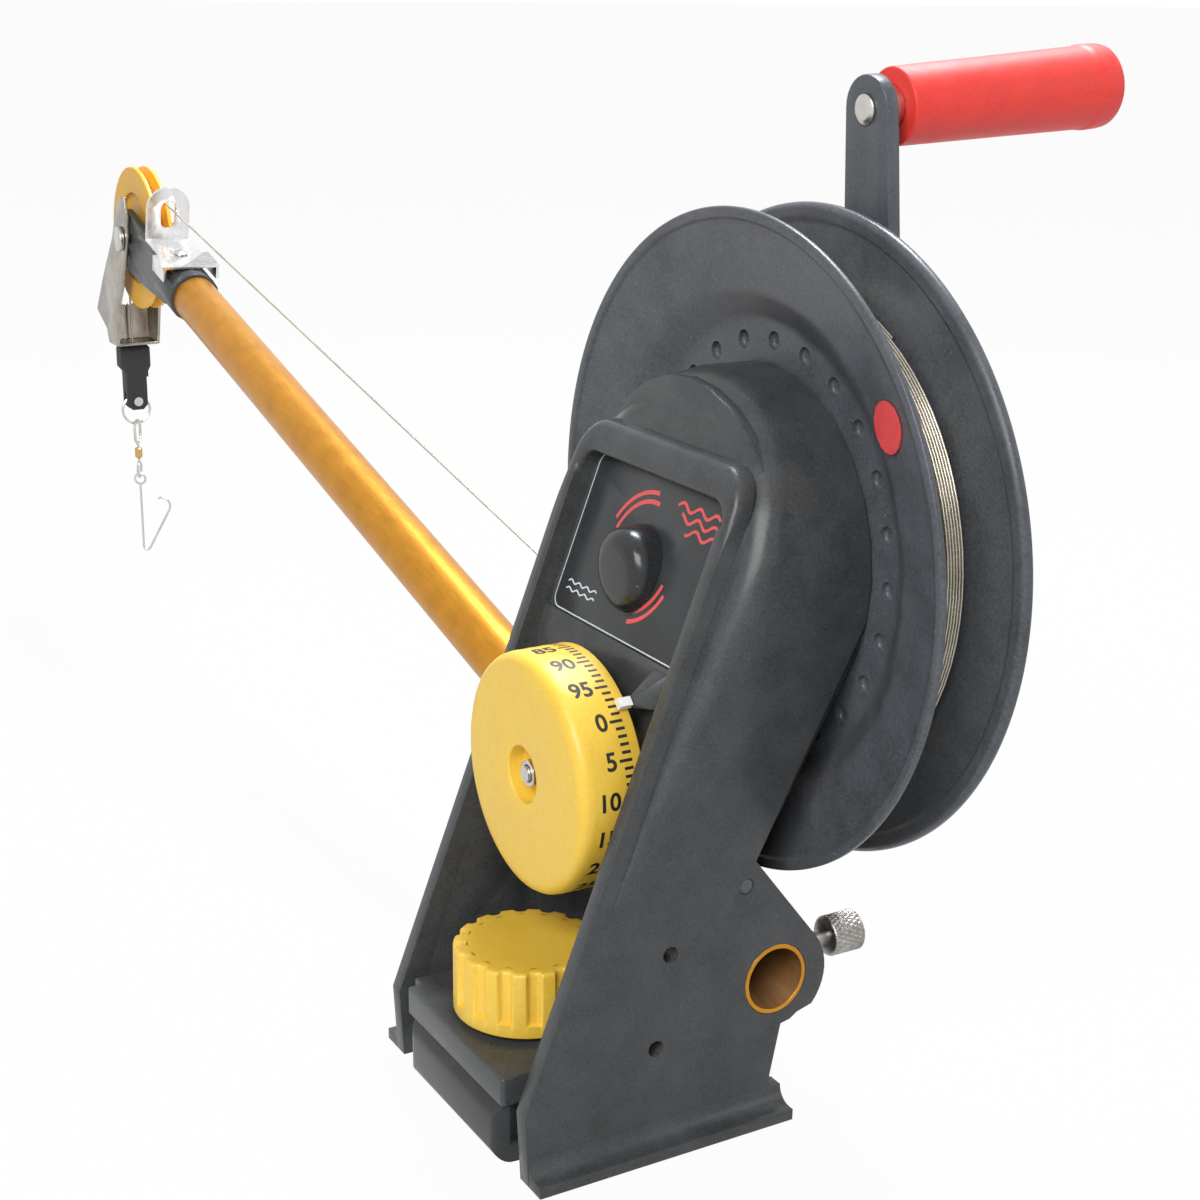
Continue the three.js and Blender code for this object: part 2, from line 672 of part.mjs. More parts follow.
function frame() {
  const nearLug = boomAtMiddle - frameHalfWidth * Math.tan(boomAngle);
  const farLug = boomAtMiddle + frameHalfWidth * Math.tan(boomAngle);
  const cheeks = [
    slabY(cheekOutline(nearLug, nearLugFrom, nearLugTo), -frameHalfWidth, -frameInner),
    slabY(cheekOutline(farLug, farLugFrom, farLugTo), frameInner, frameHalfWidth),
  ];

  // Feet that turn outwards, with a concave fillet up to the cheek
  const feet = [];
  for (const side of [-1, 1]) {
    const reach = frameHalfWidth + footReach;
    const fillet = arcPoints(frameHalfWidth + footFillet, footThickness + footFillet, footFillet, 270, 180, 6);
    const section = [[frameInner, 0], [reach, 0], [reach, footThickness], ...fillet];
    section.push([frameInner, footThickness + footFillet]);
    feet.push(slabX(outline(section.map(([a, b]) => [side * a, b])), -footHalf, footHalf));
  }

  // Everything in front of the face: the recess for the plate and the well for the dial
  const far = -footLength;
  const front = outline([
    [far, -overrun],
    [wellFace, -overrun],
    [wellFace, slantZ(wellFace)],
    [faceLine(plateLow - seatGap), plateLow - seatGap],
    [seatLine(plateLow - seatGap), plateLow - seatGap],
    [seatLine(rimTop), rimTop],
    [far, rimTop],
  ]);
  const opening = roundedRectangle(
    rimWall - frameHalfWidth, frameHalfWidth - rimWall,
    -footLength, plateHigh + seatGap, recessCorner,
  );
  const recess = slabY(front, -frameInner, frameInner).intersect(slabX(opening, far, barrelBack));

  // The wall behind the dial, and the floor that carries the rails
  const floorLow = baseHeight + seatGap;
  const wellWall = box(
    wellFace, wellFace + faceWall, -frameInner - seatGap, frameInner + seatGap,
    floorLow, shellFront + faceWall,
  );
  const floor = box(
    wellFace, neckX, -frameInner - seatGap, frameInner + seatGap, floorLow, floorLow + floorThickness,
  );
  const rails = [-1, 1].map((side) => box(
    baseFlangeFront, neckX,
    Math.min(side * railInner, side * (frameInner + seatGap)),
    Math.max(side * railInner, side * (frameInner + seatGap)),
    railLow, railLow + railHeight,
  ));

  // Bearings: a boss through the face, and a diaphragm with a long boss inside the barrel
  const boss = onAxle(turnX(rod(faceLine(axleHeight) - frontBossReach, frontBossInside, frontBossRadius)));
  const diaphragm = onAxle(turnX(
    rod(diaphragmStart, diaphragmStart + diaphragmThickness, barrelRadius - barrelWall / 2), fineSteps,
  ));
  const bearing = onAxle(turnX(rod(diaphragmStart - overrun, bearingBossEnd, bearingBossRadius)));
  const dialBoss = onDial(turnX(rod(wellFace + overrun, wellFace + 2 * faceWall, dialHubRadius)));
  const idlerBoss = onIdler(turnX(
    rod(seatLine(idlerZ) + faceWall / 2, dialGearStart - 2 * runGap, idlerBossRadius), smallSteps,
  ));

  // The click pin's barrel, under the spool's ring of dimples
  const clickBoss = onAxle(turnX(rod(clickStart, barrelBack, clickBossRadius), smallSteps)
    .translate([0, 0, -detentRing])
    .rotate([detentTurn, 0, 0]));

  // Lugs round the boom, cut flush with the cheeks
  const lugs = [
    alongBoom(rod(-lugRadius, nearLugDepth, lugRadius)),
    alongBoom(rod(2 * frameHalfWidth - farLugDepth, 2 * frameHalfWidth + lugRadius, lugRadius)),
  ].map((lug) => lug.intersect(box(
    boomX - footLength, boomX + footLength, -frameHalfWidth, frameHalfWidth, 0, rimTop,
  )));

  const shell = cut(join(housing(), ...cheeks), recess, housingRoom());
  let body = join(shell, ...feet, wellWall, floor, ...rails, boss, diaphragm, bearing, dialBoss, idlerBoss);
  body = join(body, clickBoss, ...lugs);
  body = cut(
    body,
    spoolRoom(),
    alongBoom(rod(-footLength, boomLength, boomRadius + seatGap)),
    thumbscrewHole(),
    onAxle(turnX(rod(-footLength, diaphragmStart, axleFrontRadius + runGap), smallSteps)),
    onAxle(turnX(rod(diaphragmStart - 2 * overrun, barrelBack, sleeveRadius + bushWall + 2 * seatGap))),
    onDial(turnX(rod(0, wheelStart, dialShaftRadius + dialBushWall + 2 * seatGap), smallSteps)),
    onIdler(turnX(rod(seatLine(idlerZ) + faceWall, idlerEnd, idlerRadius + seatGap), smallSteps)),
    onAxle(turnX(rod(clickSeat, barrelBack + overrun, clickBore), smallSteps)
      .translate([0, 0, -detentRing])
      .rotate([detentTurn, 0, 0])),
  );
  const holes = [];
  for (const side of [-1, 1]) {
    const low = side < 0 ? -frameHalfWidth - overrun : frameInner - seatGap;
    const high = side < 0 ? -frameInner + seatGap : frameHalfWidth + overrun;
    holes.push(turnY(rod(low, high, crossHoleRadius), smallSteps).translate([upperHoleX, 0, upperHoleZ]));
    holes.push(turnY(rod(low, high, crossHoleRadius), smallSteps).translate([lowerHoleX, 0, lowerHoleZ]));
    const screwX = side < 0 ? trayScrewNearX : trayScrewFarX;
    const sink = side < 0 ? rod(low, trayHeadInner * side, trayScrewHead + seatGap)
      : rod(trayHeadInner, high, trayScrewHead + seatGap);
    holes.push(turnY(rod(low, high, trayScrewRadius + seatGap), smallSteps).translate([screwX, 0, trayScrewZ]));
    holes.push(turnY(sink, smallSteps).translate([screwX, 0, trayScrewZ]));
  }
  return cut(body, ...holes);
}

function thumbscrewHole() {
  const start = boomX + boomRadius;
  return turnX(rod(start, start + lugRadius, screwShankRadius + seatGap), smallSteps)
    .translate([0, screwY, screwZ]);
}

// The plate in the recess, the dome over the axle's end, and the pointer
function facePlate() {
  const slant = outline([
    [faceLine(plateLow), plateLow],
    [faceLine(plateHigh), plateHigh],
    [faceLine(plateHigh) + plateThickness, plateHigh],
    [faceLine(plateLow) + plateThickness, plateLow],
  ]);
  const face = roundedRectangle(-plateHalfWidth, plateHalfWidth, plateLow, plateHigh, plateCorner);
  const sheet = slabY(slant, -plateHalfWidth, plateHalfWidth);
  const bossHole = onAxle(turnX(rod(0, axleStep, frontBossRadius + seatGap)));
  return cut(sheet.intersect(slabX(face, 0, axleStep)), bossHole);
}

function axleCap() {
  const dome = arcPoints(capApex + capRound, capRadius - capRound, capRound, 180, 90, 6);
  const body = turnX([[capApex, 0], ...dome, [axleStep, capRadius], [axleStep, 0]])
    .translate([0, 0, axleHeight - capDrop]);
  const behind = outline([
    [faceLine(0) - seatGap * slantStretch, 0],
    [faceLine(rimTop) - seatGap * slantStretch, rimTop],
    [footLength, rimTop],
    [footLength, 0],
  ]);
  const socket = onAxle(turnX(rod(
    faceLine(axleHeight) - frontBossReach - seatGap, axleStep, frontBossRadius + seatGap,
  )));
  return cut(body, slabY(behind, -frameHalfWidth, frameHalfWidth), socket);
}

function pointer() {
  const turn = pointerTurn * degree;
  const along = new THREE.Vector3(0, Math.cos(turn), Math.sin(turn));
  const across = new THREE.Vector3(0, -Math.sin(turn), Math.cos(turn));
  const rimPoint = (x, out, side) => new THREE.Vector3(x, 0, dialHeight)
    .addScaledVector(along, dialRadius + pointerAir + out)
    .addScaledVector(across, side);
  const nose = (x) => [
    rimPoint(x, 0, -pointerWidth / 2),
    rimPoint(x, 0, pointerWidth / 2),
    rimPoint(x, pointerThickness, -pointerWidth / 2),
    rimPoint(x, pointerThickness, pointerWidth / 2),
  ];
  const dialBack = dialFront + dialWidth;
  const neck = dialBack - pointerReach + pointerTipLength;
  const footY = rimPoint(0, 0, 0).y - pointerFootHalf;
  const footZ = rimPoint(0, 0, 0).z + pointerFootHalf;
  const foot = [];
  for (const z of [footZ - pointerFootDrop, footZ + pointerFootRise]) {
    for (const side of [-1, 1]) {
      foot.push(new THREE.Vector3(faceLine(z) - seatGap * slantStretch, footY + side * pointerFootHalf, z));
    }
  }
  const arm = solid(new ConvexGeometry([...nose(neck + seatGap), ...foot]));
  const tip = solid(new ConvexGeometry([...nose(neck), ...nose(neck - pointerTipLength)]));
  return [arm, tip];
}

// The tray that closes the gear case from below, cut away round the boom's lug
function gearCover() {
  const half = frameInner - seatGap;
  const low = traySeat - trayDepth;
  const front = wellFace + faceWall + seatGap;
  const outer = box(front, shellBackX, -half, half, low, traySeat);
  const inner = box(
    front + trayThickness, shellBackX - trayThickness, -half + 2 * trayThickness, half - 2 * trayThickness,
    low + trayThickness, traySeat + overrun,
  );
  const threads = [[trayScrewNearX, -footLength, 0], [trayScrewFarX, 0, footLength]].map(([x, from, to]) => {
    return turnY(rod(from, to, trayScrewRadius + seatGap), smallSteps).translate([x, 0, trayScrewZ]);
  });
  return cut(outer, inner, ...threads, alongBoom(rod(-footLength, boomLength, lugRadius + seatGap)));
}

function coverScrew(side) {
  const outer = trayHeadInner + seatGap + trayScrewHeadDepth;
  const profile = [
    [frameInner - 2 * trayThickness, 0],
    [frameInner - 2 * trayThickness, trayScrewRadius],
    [trayHeadInner + seatGap, trayScrewRadius],
    [trayHeadInner + seatGap, trayScrewHead],
    [outer, trayScrewHead],
    [outer, 0],
  ];
  const x = side < 0 ? trayScrewNearX : trayScrewFarX;
  return turnY(profile.map(([y, radius]) => [side * y, radius]), smallSteps).translate([x, 0, trayScrewZ]);
}

// The deck base: a tongue with flanges that catch under the frame's rails, and four deck bolts
function mountingBase() {
  const flangeHalf = baseHalfWidth + baseFlangeReach;
  const side = outline([
    ...arcPoints(baseFront + baseNoseLow, baseNoseLow, baseNoseLow, 270, 180, 5),
    ...arcPoints(baseFront + baseNose, baseHeight - baseNose, baseNose, 180, 90, 6),
    [baseBack, baseHeight],
    [baseBack, 0],
  ]);
  const plan = outline([
    [baseBack, -baseHalfWidth],
    [baseBack, baseHalfWidth],
    ...arcPoints(baseFront + baseNoseSide, baseHalfWidth - baseNoseSide, baseNoseSide, 90, 180, 5),
    ...arcPoints(baseFront + baseNoseSide, baseNoseSide - baseHalfWidth, baseNoseSide, 180, 270, 5),
  ]);
  const tongue = slabY(side, -baseHalfWidth, baseHalfWidth).intersect(slabZ(plan, 0, baseHeight));
  const flanges = box(baseFlangeFront, baseBack, -flangeHalf, flangeHalf, 0, baseFlange);
  const holes = [];
  for (const x of [boltHoleFront, boltHoleBack]) {
    for (const y of [-boltHoleY, boltHoleY]) {
      holes.push(turnZ(rod(-overrun, baseHeight + overrun, boltHoleRadius), smallSteps).translate([x, y, 0]));
      const head = rod(baseHeight - boltHoleHeadDepth, baseHeight + overrun, boltHoleHead);
      holes.push(turnZ(head, smallSteps).translate([x, y, 0]));
    }
  }
  const thread = turnZ(rod(baseHeight - studDepth - seatGap, baseHeight + overrun, studRadius + seatGap), smallSteps);
  return cut(join(tongue, flanges), ...holes, thread.translate([knobX, 0, 0]));
}

// The block that the knob presses down on the frame's two rails
function clampBlock() {
  const shape = roundedRectangle(blockFront, blockBack, -blockHalfWidth, blockHalfWidth, blockCorner);
  const notch = box(
    blockFront - overrun, blockFront + blockNotch, blockHalfWidth - blockNotch, blockHalfWidth + overrun,
    blockLow - overrun, blockTop + overrun,
  );
  const hole = turnZ(rod(blockLow - overrun, blockTop + overrun, studRadius + seatGap), smallSteps);
  return cut(slabZ(shape, blockLow, blockTop), notch, hole.translate([knobX, 0, 0]));
}

function lockKnob() {
  const low = blockTop + 2 * seatGap + washerThickness;
  const high = low + knobHeight;
  const bore = studRadius + seatGap;
  const cap = arcPoints(high - knobRound, knobRadius - knobRound, knobRound, 90, 0, 4);
  const body = turnZ([
    [low, bore], [low, knobRadius], ...cap, [high, 0],
    [high - knobSkirt, 0], [high - knobSkirt, bore], [low, bore],
  ], knobFlutes * 2);
  const flutes = [];
  for (let i = 0; i < knobFlutes; i += 1) {
    const turn = (2 * Math.PI * i) / knobFlutes;
    const reach = knobRadius + fluteRadius - fluteDepth;
    const groove = turnZ(rod(low + knobSkirt, high + overrun, fluteRadius), cordSides);
    flutes.push(groove.translate([reach * Math.cos(turn), reach * Math.sin(turn), 0]));
  }
  return cut(body, ...flutes).translate([knobX, 0, 0]);
}

function lockStud() {
  const top = blockTop + 2 * seatGap + washerThickness + knobHeight - knobSkirt - seatGap;
  return turnZ(rod(baseHeight - studDepth, top, studRadius), smallSteps).translate([knobX, 0, 0]);
}

function lockWasher() {
  const low = blockTop + seatGap;
  return turnZ(pipe(low, low + washerThickness, studRadius + seatGap, washerRadius)).translate([knobX, 0, 0]);
}

// Depth dial: a hollow drum on the counter shaft, open at the back
function depthDial() {
  const back = dialFront + dialWidth;
  const hubBack = wellFace - dialBushFlange - 2 * seatGap;
  const edge = arcPoints(dialFront + dialRound, dialRadius - dialRound, dialRound, 180, 90, 3);
  const floorX = dialFront + dialRecessDepth;
  const profile = [
    [floorX, dialShaftRadius + seatGap],
    [floorX, dialRecess],
    [dialFront, dialRecess],
    ...edge,
    [back, dialRadius],
    [back, dialRadius - dialWall],
    [dialFront + dialWall, dialRadius - dialWall],
    [dialFront + dialWall, dialRecess + dialWall],
    [floorX + dialWall, dialRecess + dialWall],
    [floorX + dialWall, dialHubRadius],
    [hubBack, dialHubRadius],
    [hubBack, dialShaftRadius + seatGap],
  ];
  profile.push(profile[0]);
  return onDial(turnX(profile, fineSteps));
}

function dialShaft() {
  return onDial(turnX(rod(dialFront + overrun, dialGearStart + dialGearHub, dialShaftRadius), smallSteps));
}

function dialNut() {
  const start = dialFront + dialRecessDepth - seatGap - dialNutThickness;
  return onDial(hexNut(start, start + dialNutThickness, dialShaftRadius + seatGap, dialNutRadius));
}

function dialBush() {
  const bore = dialShaftRadius + seatGap;
  const outer = bore + dialBushWall - seatGap;
  const end = wellFace + 2 * faceWall;
  const profile = [
    [wellFace - seatGap - dialBushFlange, bore],
    [wellFace - seatGap - dialBushFlange, outer + dialBushReach],
    [wellFace - seatGap, outer + dialBushReach],
    [wellFace - seatGap, outer],
    [end, outer],
    [end, bore],
  ];
  profile.push(profile[0]);
  return onDial(turnX(profile, smallSteps));
}

function dialGear() {
  const wheel = gearX(dialTeeth, dialGearStart, dialGearStart + dialGearThickness, dialShaftRadius + seatGap);
  const hub = turnX(pipe(
    dialGearStart, dialGearStart + dialGearHub, dialShaftRadius + seatGap, dialNutRadius,
  ), smallSteps);
  const toIdler = Math.atan2(idlerZ - dialHeight, idlerY) / degree;
  return onDial(join(wheel, hub).rotate([toIdler + 180 / dialTeeth, 0, 0]));
}

function compoundGear() {
  const toAxle = Math.atan2(axleHeight - idlerZ, -idlerY) / degree;
  const toDial = Math.atan2(dialHeight - idlerZ, -idlerY) / degree;
  const bore = idlerRadius + seatGap;
  const wheel = gearX(wheelTeeth, wheelStart, wheelStart + wheelThickness, bore);
  const small = gearX(smallTeeth, dialGearStart - runGap, wheelStart + overrun, bore);
  return onIdler(join(wheel.rotate([toAxle + 180 / wheelTeeth, 0, 0]), small.rotate([toDial, 0, 0])));
}

function idlerPin() {
  return onIdler(turnX(rod(seatLine(idlerZ) + faceWall + seatGap, idlerEnd, idlerRadius), smallSteps));
}

// Drive sleeve with the first pinion on its front end
function driveSleeve() {
  const toIdler = Math.atan2(idlerZ - axleHeight, idlerY) / degree;
  const pinion = gearX(pinionTeeth, sleeveFront, pinionEnd, axleFrontRadius + runGap).rotate([toIdler, 0, 0]);
  const tube = turnX([
    [pinionEnd - overrun / 2, axleFrontRadius + runGap],
    [pinionEnd - overrun / 2, pitchRadius(pinionTeeth)],
    [diaphragmStart - overrun, pitchRadius(pinionTeeth)],
    [diaphragmStart - overrun, sleeveRadius],
    [hubBack, sleeveRadius],
    [hubBack, axleRadius + runGap],
    [axleStep - runGap, axleRadius + runGap],
    [axleStep - runGap, axleFrontRadius + runGap],
    [pinionEnd - overrun / 2, axleFrontRadius + runGap],
  ]);
  return onAxle(join(pinion, tube));
}

function bush(from, flanged) {
  const inner = sleeveRadius + seatGap;
  const outer = inner + bushWall;
  const end = from + bushLength;
  const profile = [[from, inner], [from, outer], [end, outer]];
  if (flanged) {
    profile.push([end, outer + bushFlangeReach], [end + bushFlange, outer + bushFlangeReach]);
    profile.push([end + bushFlange, inner]);
  } else {
    profile.push([end, inner]);
  }
  profile.push(profile[0]);
  return onAxle(turnX(profile));
}

function axle() {
  return onAxle(turnX([
    [axleStart, 0],
    [axleStart, axleFrontRadius],
    [axleStep, axleFrontRadius],
    [axleStep, axleRadius],
    [axleEnd, axleRadius],
    [axleEnd, 0],
  ]));
}

// Spool: a dished front flange with a ring of dimples, a drum with its hub, and a flat rear flange
function frontProfile() {
  return [
    [dishDepth, dishInner],
    [dishShoulderDepth, dishShoulder],
    [rimStep, lipInner],
  ];
}

function spoolFrontFlange() {
  const lipStart = spoolRadius - lipWidth;
  const profile = [
    [dishDepth, hubRadius + seatGap],
    ...frontProfile(),
    [lipRound, lipStart],
    [0, lipStart + lipRound],
    [0, spoolRadius - lipRound],
    [lipRound, spoolRadius],
    [lipThickness - lipRound / 2, spoolRadius],
    [lipThickness, spoolRadius - lipRound / 2],
    [lipThickness, lipStart + webThickness / 2],
    [rimStep + webThickness, lipInner],
    [dishShoulderDepth + webThickness, dishShoulder],
    [dishDepth + webThickness, dishInner],
    [dishDepth + webThickness, hubRadius + seatGap],
    [dishDepth, hubRadius + seatGap],
  ];
  const body = turnX(profile, rimSteps);
  const dimples = [];
  for (let i = 0; i < detentCount; i += 1) {
    const turn = detentTurn + (360 * i) / detentCount;
    const dimple = turnX(rod(0, dishDepth + detentDepth, detentRadius), dimpleSides).translate([0, detentRing, 0]);
    dimples.push(dimple.rotate([turn, 0, 0]));
  }
  return onAxle(cut(body, ...dimples).translate([spoolFront, 0, 0]));
}

function spoolDrum() {
  const low = dishDepth + webThickness + seatGap;
  const high = rearFace - seatGap;
  const middle = (low + high) / 2;
  const inner = drumRadius - drumWall;
  const front = hubFront - spoolFront;
  const back = hubBack - spoolFront;
  const profile = [
    [front, sleeveRadius + seatGap],
    [front, hubRadius],
    [middle - drumWeb / 2, hubRadius],
    [middle - drumWeb / 2, inner],
    [low, inner],
    [low, drumRadius],
    [high, drumRadius],
    [high, inner],
    [middle + drumWeb / 2, inner],
    [middle + drumWeb / 2, hubRadius],
    [back, hubRadius],
    [back, sleeveRadius + seatGap],
    [front, sleeveRadius + seatGap],
  ];
  return onAxle(turnX(profile, fineSteps).translate([spoolFront, 0, 0]));
}

function spoolRearFlange() {
  const rise = rearFace + rearRise;
  const profile = [
    [rearFace, hubRadius + seatGap],
    [rearFace, drumRadius],
    [rise, rearWebRadius],
    [rise - rearRimDrop, rearWebRadius + rearRise],
    [rise - rearRimDrop, spoolRadius - rearRise],
    [rise, spoolRadius],
    [rearPlane, spoolRadius],
    [rearPlane, hubRadius + seatGap],
    [rearFace, hubRadius + seatGap],
  ];
  return onAxle(turnX(profile, rimSteps).translate([spoolFront, 0, 0]));
}

function redMarker() {
  const front = frontProfile();
  const face = (thickness) => [
    ...front.map(([x, radius]) => [x - seatGap - thickness, radius]),
  ];
  const shell = turnX([...face(0), ...face(markerThickness).reverse(), face(0)[0]], rimSteps);
  const disc = turnX(rod(-spoolFront, dishDepth, markerRadius)).translate([0, markerRing, 0]);
  return onAxle(shell.intersect(disc.rotate([markerTurn, 0, 0])).translate([spoolFront, 0, 0]));
}

// The cable that is wound: a plain core, and the outermost loops as one unbroken tube
function webBack(radius) {
  const [inner, shoulder, outer] = frontProfile();
  const [low, high] = radius < dishShoulder ? [inner, shoulder] : [shoulder, outer];
  const share = (radius - low[1]) / (high[1] - low[1]);
  return low[0] + share * (high[0] - low[0]) + webThickness;
}

function cableCore() {
  const inner = drumRadius + seatGap;
  const high = rearFace - seatGap + rearRise * (coreRadius - drumRadius) / (rearWebRadius - drumRadius);
  const profile = [
    [webBack(inner) + 2 * seatGap, inner],
    [webBack(coreRadius) + 2 * seatGap, coreRadius],
    [high, coreRadius],
    [rearFace - seatGap, inner],
    [webBack(inner) + 2 * seatGap, inner],
  ];
  return onAxle(turnX(profile, fineSteps).translate([spoolFront, 0, 0]));
}

function windingPath() {
  const steps = windLoops * windSteps;
  const points = [];
  const diameter = 2 * cableRadius;
  const at = (i) => {
    const turn = leaveTurn - (2 * Math.PI * (steps - i)) / windSteps;
    return new THREE.Vector3(
      spoolFront + windEnd - (windPitch * (steps - i)) / windSteps,
      windRadius * Math.cos(turn),
      axleHeight + windRadius * Math.sin(turn),
    );
  };
  for (let i = 0; i <= steps; i += 1) points.push(at(i));
  const lead = at(0).sub(at(1)).setLength(diameter).add(at(0));
  const tail = at(steps).sub(at(steps - 1)).setLength(diameter).add(at(steps));
  return [lead, ...points, tail];
}

function tubeAlong(points, radius, sides) {
  const vertices = [];
  const faces = [];
  let normal = new THREE.Vector3(1, 0, 0);
  points.forEach((point, i) => {
    const before = points[Math.max(i - 1, 0)];
    const after = points[Math.min(i + 1, points.length - 1)];
    const along = after.clone().sub(before).normalize();
    normal = normal.clone().addScaledVector(along, -normal.dot(along)).normalize();
    const other = along.clone().cross(normal);
    for (let k = 0; k < sides; k += 1) {
      const turn = (2 * Math.PI * k) / sides;
      vertices.push(...point.clone()
        .addScaledVector(normal, radius * Math.cos(turn))
        .addScaledVector(other, radius * Math.sin(turn))
        .toArray());
    }
  });
  const last = (points.length - 1) * sides;
  for (let i = 0; i < points.length - 1; i += 1) {
    for (let k = 0; k < sides; k += 1) {
      const a = i * sides + k;
      const b = i * sides + ((k + 1) % sides);
      faces.push(a, b, a + sides, b, b + sides, a + sides);
    }
  }
  for (let k = 1; k < sides - 1; k += 1) {
    faces.push(0, k + 1, k);
    faces.push(last, last + k, last + k + 1);
  }
  const geometry = new THREE.BufferGeometry();
  geometry.setAttribute('position', new THREE.BufferAttribute(Float32Array.from(vertices), 3));
  geometry.setIndex(faces);
  return solid(geometry);
}

function leastGap(points, apart) {
  let least = Infinity;
  for (let i = 0; i < points.length; i += 1) {
    for (let j = i + apart; j < points.length; j += 1) {
      least = Math.min(least, points[i].distanceTo(points[j]));
    }
  }
  return least - 2 * cableRadius;
}

// Click pin and its spring, in the frame's barrel under the spool's dimples
const onClick = (body) => onAxle(body.translate([0, 0, -detentRing]).rotate([detentTurn, 0, 0]));

function clickPin() {
  const nose = spoolFront + dishDepth - seatGap;
  const body = clickBore - seatGap;
  return onClick(turnX([
    [nose - clickPinLength, 0],
    [nose - clickPinLength, body],
    [nose - clickNose, body],
    [nose - clickNoseRadius / 2, clickNoseRadius],
    [nose, clickNoseRadius / 2],
    [nose, 0],
  ], smallSteps));
}

function clickSpring() {
  const from = clickSeat + seatGap + springWire;
  const to = spoolFront + dishDepth - 2 * seatGap - clickPinLength - springWire;
  const points = [];
  const steps = springCurls * 8;
  for (let i = 0; i <= steps; i += 1) {
    const turn = (2 * Math.PI * i) / 8;
    points.push(new THREE.Vector3(
      from + ((to - from) * i) / steps,
      springRadius * Math.cos(turn),
      springRadius * Math.sin(turn),
    ));
  }
  return onClick(tubeAlong(points, springWire, 4));
}

// Crank: an arm that leans back towards the spool, with the grip's pin through its end. Its parts
// are drawn with the arm's back face at X = 0 and leaned about the hub.
const onLean = (body) => body.rotate([0, -crankLean, 0]).translate([crankFace, 0, axleHeight]);
const onCrank = (body) => onLean(body.translate([0, 0, crankRadius]));

function crankArm() {
  const circle = (z, radius) => {
    const points = [];
    for (const [y, height] of arcPoints(0, z, radius, 0, 360 - 360 / fineSteps, fineSteps - 1)) {
      points.push(new THREE.Vector3(0, y, height));
      points.push(new THREE.Vector3(crankThickness, y, height));
    }
    return points;
  };
  const arm = solid(new ConvexGeometry([...circle(0, crankHubRadius), ...circle(crankRadius, crankTipRadius)]));
  const bossStart = hubBack + 2 * seatGap + brakeThickness;
  const boss = onAxle(turnX(rod(bossStart, crankFace + crankBossRadius * crankFall + overrun, crankBossRadius)));
  const bore = onAxle(turnX(rod(0, axleEnd, axleRadius + seatGap)));
  const pinHole = onCrank(turnX(rod(-overrun, gripStart, pinRadius + seatGap)));
  return cut(join(onLean(arm), boss), bore, pinHole);
}

function frictionDisc() {
  const start = hubBack + seatGap;
  return onAxle(turnX(pipe(start, start + brakeThickness, axleRadius + seatGap, brakeRadius)));
}

function axleNut() {
  const start = crankFace + crankThickness + axleNutRadius * crankFall + 2 * seatGap;
  return onAxle(hexNut(start, start + axleNutThickness, axleRadius + seatGap, axleNutRadius));
}

function gripPin() {
  const end = gripStart + gripLength - gripEndWall - seatGap;
  return onCrank(turnX([
    [-seatGap - pinHeadThickness, 0],
    [-seatGap - pinHeadThickness, pinHeadRadius],
    [-seatGap, pinHeadRadius],
    [-seatGap, pinRadius],
    [end, pinRadius],
    [end, 0],
  ]));
}

function crankGrip() {
  const end = gripStart + gripLength;
  const bore = pinRadius + runGap;
  const corner = arcPoints(end - gripRound, gripEndRadius - gripRound, gripRound, 90, 0, 4);
  return onCrank(turnX([
    [gripStart, bore],
    [gripStart, gripArmRadius],
    [end - gripLip, gripRadius],
    ...corner,
    [end, 0],
    [end - gripEndWall, 0],
    [end - gripEndWall, bore],
    [gripStart, bore],
  ]));
}

function crankWasher() {
  const start = crankThickness + seatGap;
  return onCrank(turnX(pipe(start, gripStart - seatGap, pinRadius + seatGap, spacerRadius)));
}

// Boom: a plain tube and its thumbscrew
function boomTube() {
  const long = turnY(pipe(-boomRadius, boomLength, boomRadius - boomWall, boomRadius), fineSteps);
  const beyond = box(-footLength, footLength, -footLength, seatGap, -footLength, footLength)
    .rotate([-boomRise, 0, 0]);
  return cut(long, beyond);
}

function thumbscrew() {
  const start = boomX + boomRadius + seatGap;
  const head = boomX + lugRadius + screwShankShows;
  return turnX([
    [start, 0],
    [start, screwShankRadius],
    [head, screwShankRadius],
    [head, screwHeadRadius],
    [head + screwHeadLength, screwHeadRadius],
    [head + screwHeadLength, 0],
  ], roundSteps).translate([0, screwY, screwZ]);
}

// Pulley head, in the boom's own frame: X across, Y along the boom from its butt, Z up from it
function tipYoke() {
  const start = boomLength + seatGap;
  const plug = turnY(rod(boomLength - plugLength, start + overrun, boomRadius - boomWall - seatGap));
  const collar = turnY(rod(start, start + collarLength, collarRadius));
  const root = start + collarLength - armRoot;
  const side = outline([
    [root, -armRoot],
    [pulleyAlong - armFlankBack, -armFlank],
    ...arcPoints(pulleyAlong, 0, armHubRadius, -90, 90, 12),
    [pulleyAlong - armFlankBack, armFlank],
    [root, armRoot],
  ]);
  const inner = pulleyThickness / 2 + armGap;
  const arms = [-inner - armThickness, inner].map((low) => slabX(side, low, low + armThickness));
  const pulleyRoom = turnX(rod(-inner, inner, pulleyRadius + 2 * armGap)).translate([0, pulleyAlong, 0]);
  const bolt = turnX(rod(-footLength, footLength, boltRadius + seatGap)).translate([0, pulleyAlong, 0]);
  const rivet = turnZ(rod(collarRadius - rivetDepth, footLength, rivetRadius + seatGap), smallSteps)
    .translate([0, boomLength + guardRivetFromTube, 0]);
  return cut(join(plug, collar, ...arms), pulleyRoom, bolt, rivet);
}

